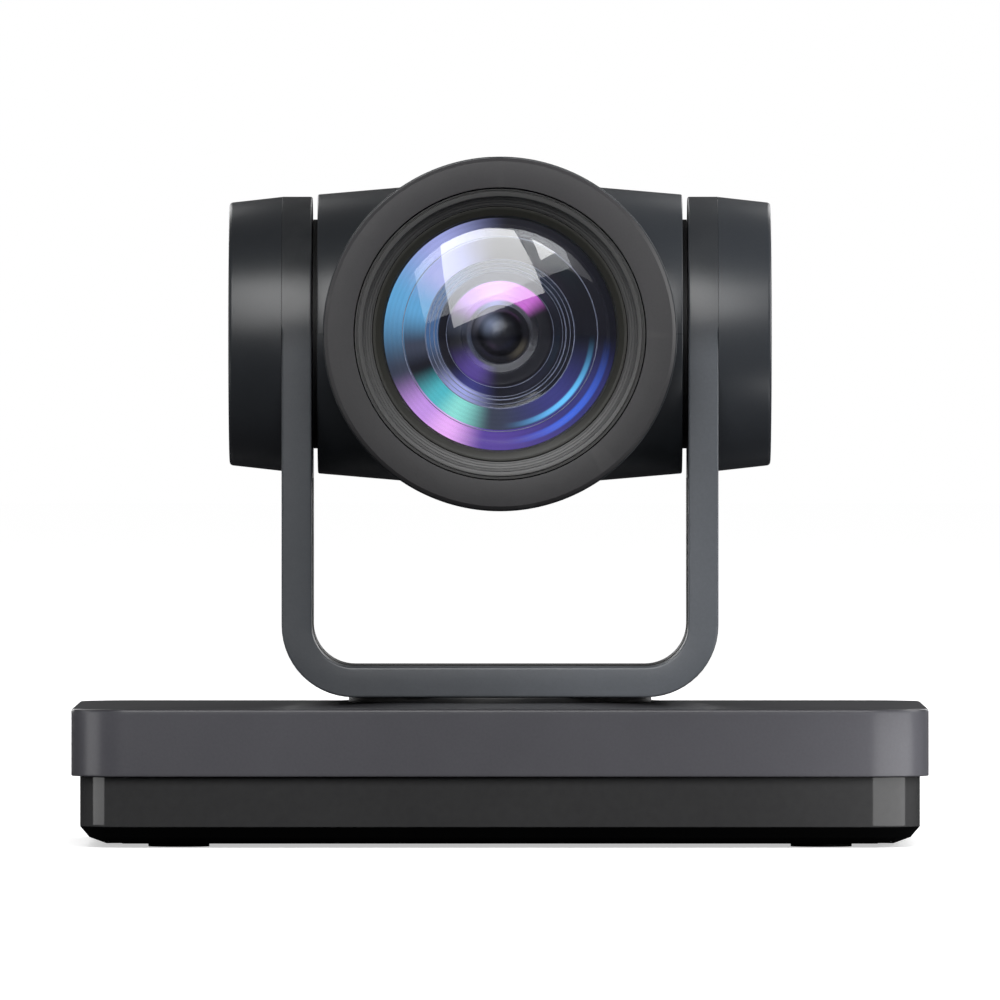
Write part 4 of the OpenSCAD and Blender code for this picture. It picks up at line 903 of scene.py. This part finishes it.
def build_lens_elements():
    """Three coated surfaces inside the barrel with painted reflections, from the widest at the front to the
    narrowest.
    """
    f = BARREL_FRONT
    wide = painted_reflection_glass("wide_painted_reflections", [
        (23.0, 31.5, 0.25, tints((0, "baffle"), (85, "smoke"), (125, "haze"), (160, "sky"), (200, "slate"),
                                 (225, "lilac"), (240, "pink"), (262, "plum"), (320, "violet"))),
        (26.5, 28.2, 0.3, tints((0, "none"), (270, "none"), (310, "royal")))])
    add_element("wide_element", arc_points(BACK_CURVE, 24.4, 29.85, GLASS_SEAT - 0.3), wide)

    middle = painted_reflection_glass("middle_painted_reflections", [
        (17.0, 26.5, 0.3, tints((0, "baffle"), (90, "smoke"), (135, "haze"), (162, "sky"), (188, "slate"),
                                (203, "baffle"), (225, "teal"), (240, "mint"), (265, "slate"),
                                (310, "violet"))),
        (22.4, 23.7, 0.3, tints((0, "none"), (270, "none"), (315, "cyan")))])
    middle_curve = [(25.2, f - 4.9), (23.6, f - 5.7), (22.0, f - 6.7), (20.2, f - 7.9), (18.4, f - 9.3)]
    add_element("middle_element", middle_curve, middle)

    near = painted_reflection_glass("near_painted_reflections", [
        (15.3, 19.5, 0.25, tints((0, "baffle"), (100, "slate"), (140, "steel_blue"), (180, "steel_blue"),
                                 (205, "slate"), (235, "haze"), (270, "baffle"))),
        (11.0, 15.3, 0.25, tints((0, "baffle"), (125, "slate"), (165, "baffle"), (210, "baffle"),
                                 (240, "violet"), (270, "baffle")))])
    near_curve = [(18.6, f - 10.4), (17.2, f - 11.0), (15.6, f - 11.9), (14.2, f - 12.8), (13.0, f - 13.8)]
    add_element("near_element", near_curve, near)


def build_zoom_lens():
    """The moving lens in the middle, with a dark ball-like dome; its coloured reflections and the highlight on the
    dome are painted.
    """
    core = painted_reflection_glass("core_painted_reflections", [
        (8.1, 13.2, 0.3, tints((0, "baffle"), (25, "baffle"), (50, "magenta"), (95, "pink"), (130, "lilac"),
                               (165, "slate"), (190, "baffle"), (235, "plum"), (270, "baffle"))),
        (7.0, 8.1, 0.2, tints((0, "smoke"), (60, "grey"), (100, "haze"), (150, "grey"), (190, "slate"),
                              (280, "smoke"))),
        # painted reflection: a dim ring round the dome with a warm glint at the lower right
        (5.4, 6.8, 0.4, tints((0, "baffle"), (60, "baffle"), (135, "grey"), (190, "baffle"), (280, "baffle"),
                              (320, "amber"))),
        # painted highlight: a soft glint on the dome's upper left
        (-9.0, 1.4, 2.8, tints((0, "glint")), (-2.3, 2.6)),
        (-9.0, 3.6, 3.0, tints((0, "baffle")), (-0.6, 0.6))],
        base=(0.006, 0.006, 0.008), rough=0.3, strength=0.95, coat=0.3)
    z = -node_box("zoom_lens")[0][1]
    holder = [(13.0, z - 5), (13.0, z - 1.2, 0.2), (12.3, z - 0.8, 0.2), (10.5, z - 0.55),
              (9.5, z - 0.35, 0.1), (9.3, z - 0.9, 0.1), (7.4, z - 1.0, 0.1)]
    dome = fillet(holder + arc_points(7.6, 7.1, 0, z + 2.4, 14), closed=False, steps=3)
    pupil = lathe("zoom_lens_skin", dome, "front", 96, closed=False, sharp_deg=35)
    finish_piece(pupil, core, "zoom_carriage", ["zoom_lens"])


def add_element(name, curve, material):
    element = lathe(name, curve, "front", 160, closed=False)
    set_material(element, material)
    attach(element, "head")


def build_element_rims():
    """The polished edges of the glass elements: fine light lines round the barrel."""
    f = BARREL_FRONT
    rims = ((24.8, f + 0.8, 0.12), (18.5, f - 9.1, 0.14), (17.4, f - 10.7, 0.1), (16.3, f - 11.3, 0.14),
            (15.5, f - 11.8, 0.07), (13.2, f - 13.4, 0.07))
    eighths = [math.pi * k / 4 for k in range(8)]
    for number, (radius, front, thick) in enumerate(rims):
        outline = [(radius + thick * math.cos(a), front + thick * math.sin(a)) for a in eighths]
        rim = lathe(f"element_rim_{number + 1}", outline, "front", 160)
        set_material(rim, "glass_edge")
        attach(rim, "head")


# ---------------------------------------------------------------- studio

def emitter(name, corners, strength, fade=1.0):
    """A glowing panel given by its corners in metres; it is seen in reflections only.
    Its lower edge glows by the share that fade states."""
    mesh = bpy.data.meshes.new(name)
    mesh.from_pydata([tuple(c) for c in corners], [], [tuple(range(len(corners)))])
    obj = bpy.data.objects.new(name, mesh)
    bpy.context.scene.collection.objects.link(obj)
    material = bpy.data.materials.new(name)
    material.use_nodes = True
    material.node_tree.nodes.clear()
    g = Graph(material.node_tree)
    out = g.add("ShaderNodeOutputMaterial")
    glow = g.add("ShaderNodeEmission")
    split = g.add("ShaderNodeSeparateXYZ")
    g.link(g.add("ShaderNodeTexCoord").outputs["Object"], split.inputs[0])
    heights = [c[2] for c in corners]
    level = g.remap(split.outputs["Z"], min(heights), max(heights), strength * fade, strength)
    g.link(level, glow.inputs["Strength"])
    g.link(glow.outputs[0], out.inputs["Surface"])
    mesh.materials.append(material)
    obj.visible_camera = False
    obj.visible_shadow = False
    return obj


def toward(azimuth, elevation, distance):
    """A point in front of the object: azimuth 0 is -Y, positive to +X."""
    a, e = math.radians(azimuth), math.radians(elevation)
    return Vector((distance * math.cos(e) * math.sin(a), -distance * math.cos(e) * math.cos(a),
                   0.11 + distance * math.sin(e)))


def panel(name, corners, distance, strength, fade=1.0):
    """A flat light panel from its corners, each given as (azimuth, elevation) in degrees."""
    centre = toward(0, 0, 0)
    rays = [toward(azimuth, elevation, 1) - centre for azimuth, elevation in corners]
    facing = sum(rays, Vector()).normalized()
    return emitter(name, [centre + ray * (distance / ray.dot(facing)) for ray in rays], strength, fade)


def standing_strip(name, centre, azimuth_from, azimuth_to, distance, low, high, strength):
    """An upright light close to the object, round a point (x, y) in metres."""
    ends = []
    for azimuth in (azimuth_from, azimuth_to):
        a = math.radians(azimuth)
        ends.append((centre[0] + distance * math.sin(a), centre[1] - distance * math.cos(a)))
    (x0, y0), (x1, y1) = ends
    return emitter(name, [(x0, y0, low), (x1, y1, low), (x1, y1, high), (x0, y0, high)], strength)


def build_floor():
    """A plain pale floor: white to the camera with a soft contact shadow, partly real and partly painted from
    ambient occlusion, dark in reflections.
    """
    floor_mesh = bpy.data.meshes.new("floor")
    s = 12.0
    floor_mesh.from_pydata([(-s, -s, 0), (s, -s, 0), (s, s, 0), (-s, s, 0)], [], [(0, 1, 2, 3)])
    floor = bpy.data.objects.new("floor", floor_mesh)
    bpy.context.scene.collection.objects.link(floor)
    material = bpy.data.materials.new("floor_white")
    material.use_nodes = True
    material.node_tree.nodes.clear()
    g = Graph(material.node_tree)
    out = g.add("ShaderNodeOutputMaterial")
    pale = g.add("ShaderNodeBsdfDiffuse")
    pale.inputs[0].default_value = (0.9, 0.9, 0.9, 1)
    near = g.add("ShaderNodeAmbientOcclusion")
    near.inputs["Distance"].default_value = 0.03
    glow = g.add("ShaderNodeEmission")
    # painted shadow: the floor's glow dims where ambient occlusion finds the object near
    g.link(g.remap(near.outputs["AO"], 0.2, 1.0, 0.5, 0.95), glow.inputs["Strength"])
    add = g.add("ShaderNodeAddShader")
    g.link(pale.outputs[0], add.inputs[0])
    g.link(glow.outputs[0], add.inputs[1])
    dim = g.add("ShaderNodeBsdfDiffuse")
    dim.inputs[0].default_value = (0.06, 0.06, 0.065, 1)
    path = g.add("ShaderNodeLightPath")
    mix = g.add("ShaderNodeMixShader")
    g.link(path.outputs["Is Camera Ray"], mix.inputs[0])
    g.link(dim.outputs[0], mix.inputs[1])
    g.link(add.outputs[0], mix.inputs[2])
    g.link(mix.outputs[0], out.inputs["Surface"])
    floor_mesh.materials.append(material)


def build_world():
    """White behind the object to the camera; dim otherwise, with more light from high at the back."""
    world = bpy.data.worlds.new("studio")
    bpy.context.scene.world = world
    world.use_nodes = True
    world.node_tree.nodes.clear()
    g = Graph(world.node_tree)
    out = g.add("ShaderNodeOutputWorld")
    direction = g.add("ShaderNodeTexCoord").outputs["Generated"]
    split = g.add("ShaderNodeSeparateXYZ")
    g.link(direction, split.inputs[0])
    behind = g.remap(split.outputs["Y"], -0.1, 0.5, smooth=True)
    high = g.remap(split.outputs["Z"], 0.12, 0.5, smooth=True)
    level = g.math("ADD", g.math("MULTIPLY", g.math("MULTIPLY", behind, high), 0.08), 0.03)
    dim = g.add("ShaderNodeBackground")
    g.link(level, dim.inputs["Strength"])
    white = g.add("ShaderNodeBackground")
    white.inputs["Color"].default_value = (1, 1, 1, 1)
    path = g.add("ShaderNodeLightPath")
    mix = g.add("ShaderNodeMixShader")
    g.link(path.outputs["Is Camera Ray"], mix.inputs[0])
    g.link(dim.outputs[0], mix.inputs[1])
    g.link(white.outputs[0], mix.inputs[2])
    g.link(mix.outputs[0], out.inputs["Surface"])


def build_lights():
    panel("key_softbox", ((-34, 44), (-20, 3), (20, 18), (8, 46)), 2.6, 5.2, 0.55)
    panel("corner_card", ((17, 42), (20, 32), (28, 35)), 2.6, 6.0)
    panel("right_card", ((10, 46), (16, 29), (29, 29), (48, 18), (60, 24), (42, 50)), 3.2, 0.5)
    rear_corners = ((150, 45), (150, 0), (166, 0), (166, 45))
    for side, name in ((1, "rear_fill_right"), (-1, "rear_fill_left")):
        panel(name, [(side * azimuth, elevation) for azimuth, elevation in rear_corners], 2.6, 3.0)
    standing_strip("right_strip", (0, 0.13), 55, 84, 0.42, 0.09, 0.36, 3.4)
    standing_strip("left_strip", (0, 0.13), -88, -70, 0.55, 0.09, 0.36, 1.6)
    standing_strip("base_strip_right", (0.1, -0.06), 8, 84, 0.08, 0.0, 0.038, 2.3)
    standing_strip("base_strip_left", (-0.1, -0.06), -94, -62, 0.2, 0.0, 0.055, 2.0)


def build_camera():
    """A long lens level with the tilt axis. The frame is as wide as view_width at the lens's front."""
    distance = 6.0
    front_plane = 0.075
    view_width = 0.2605
    camera_data = bpy.data.cameras.new("camera")
    camera = bpy.data.objects.new("camera", camera_data)
    bpy.context.scene.collection.objects.link(camera)
    camera.location = (0, -distance, AXIS_Z * MM)
    aim = Vector((0, 0, 0.0902)) - camera.location
    camera.rotation_euler = aim.to_track_quat("-Z", "Y").to_euler()
    camera_data.sensor_width = 36
    camera_data.lens = camera_data.sensor_width * (distance - front_plane) / view_width
    camera_data.clip_end = 50
    bpy.context.scene.camera = camera
    bpy.context.scene.view_settings.view_transform = "Standard"


dress_cad_nodes()
build_base_cover()
build_base_band()
build_turntable()
build_yoke()
build_drum_caps()
build_head_shells()
build_front_rings()
build_front_glass()
build_lens_barrel()
build_lens_elements()
build_zoom_lens()
build_element_rims()
build_floor()
build_world()
build_lights()
build_camera()
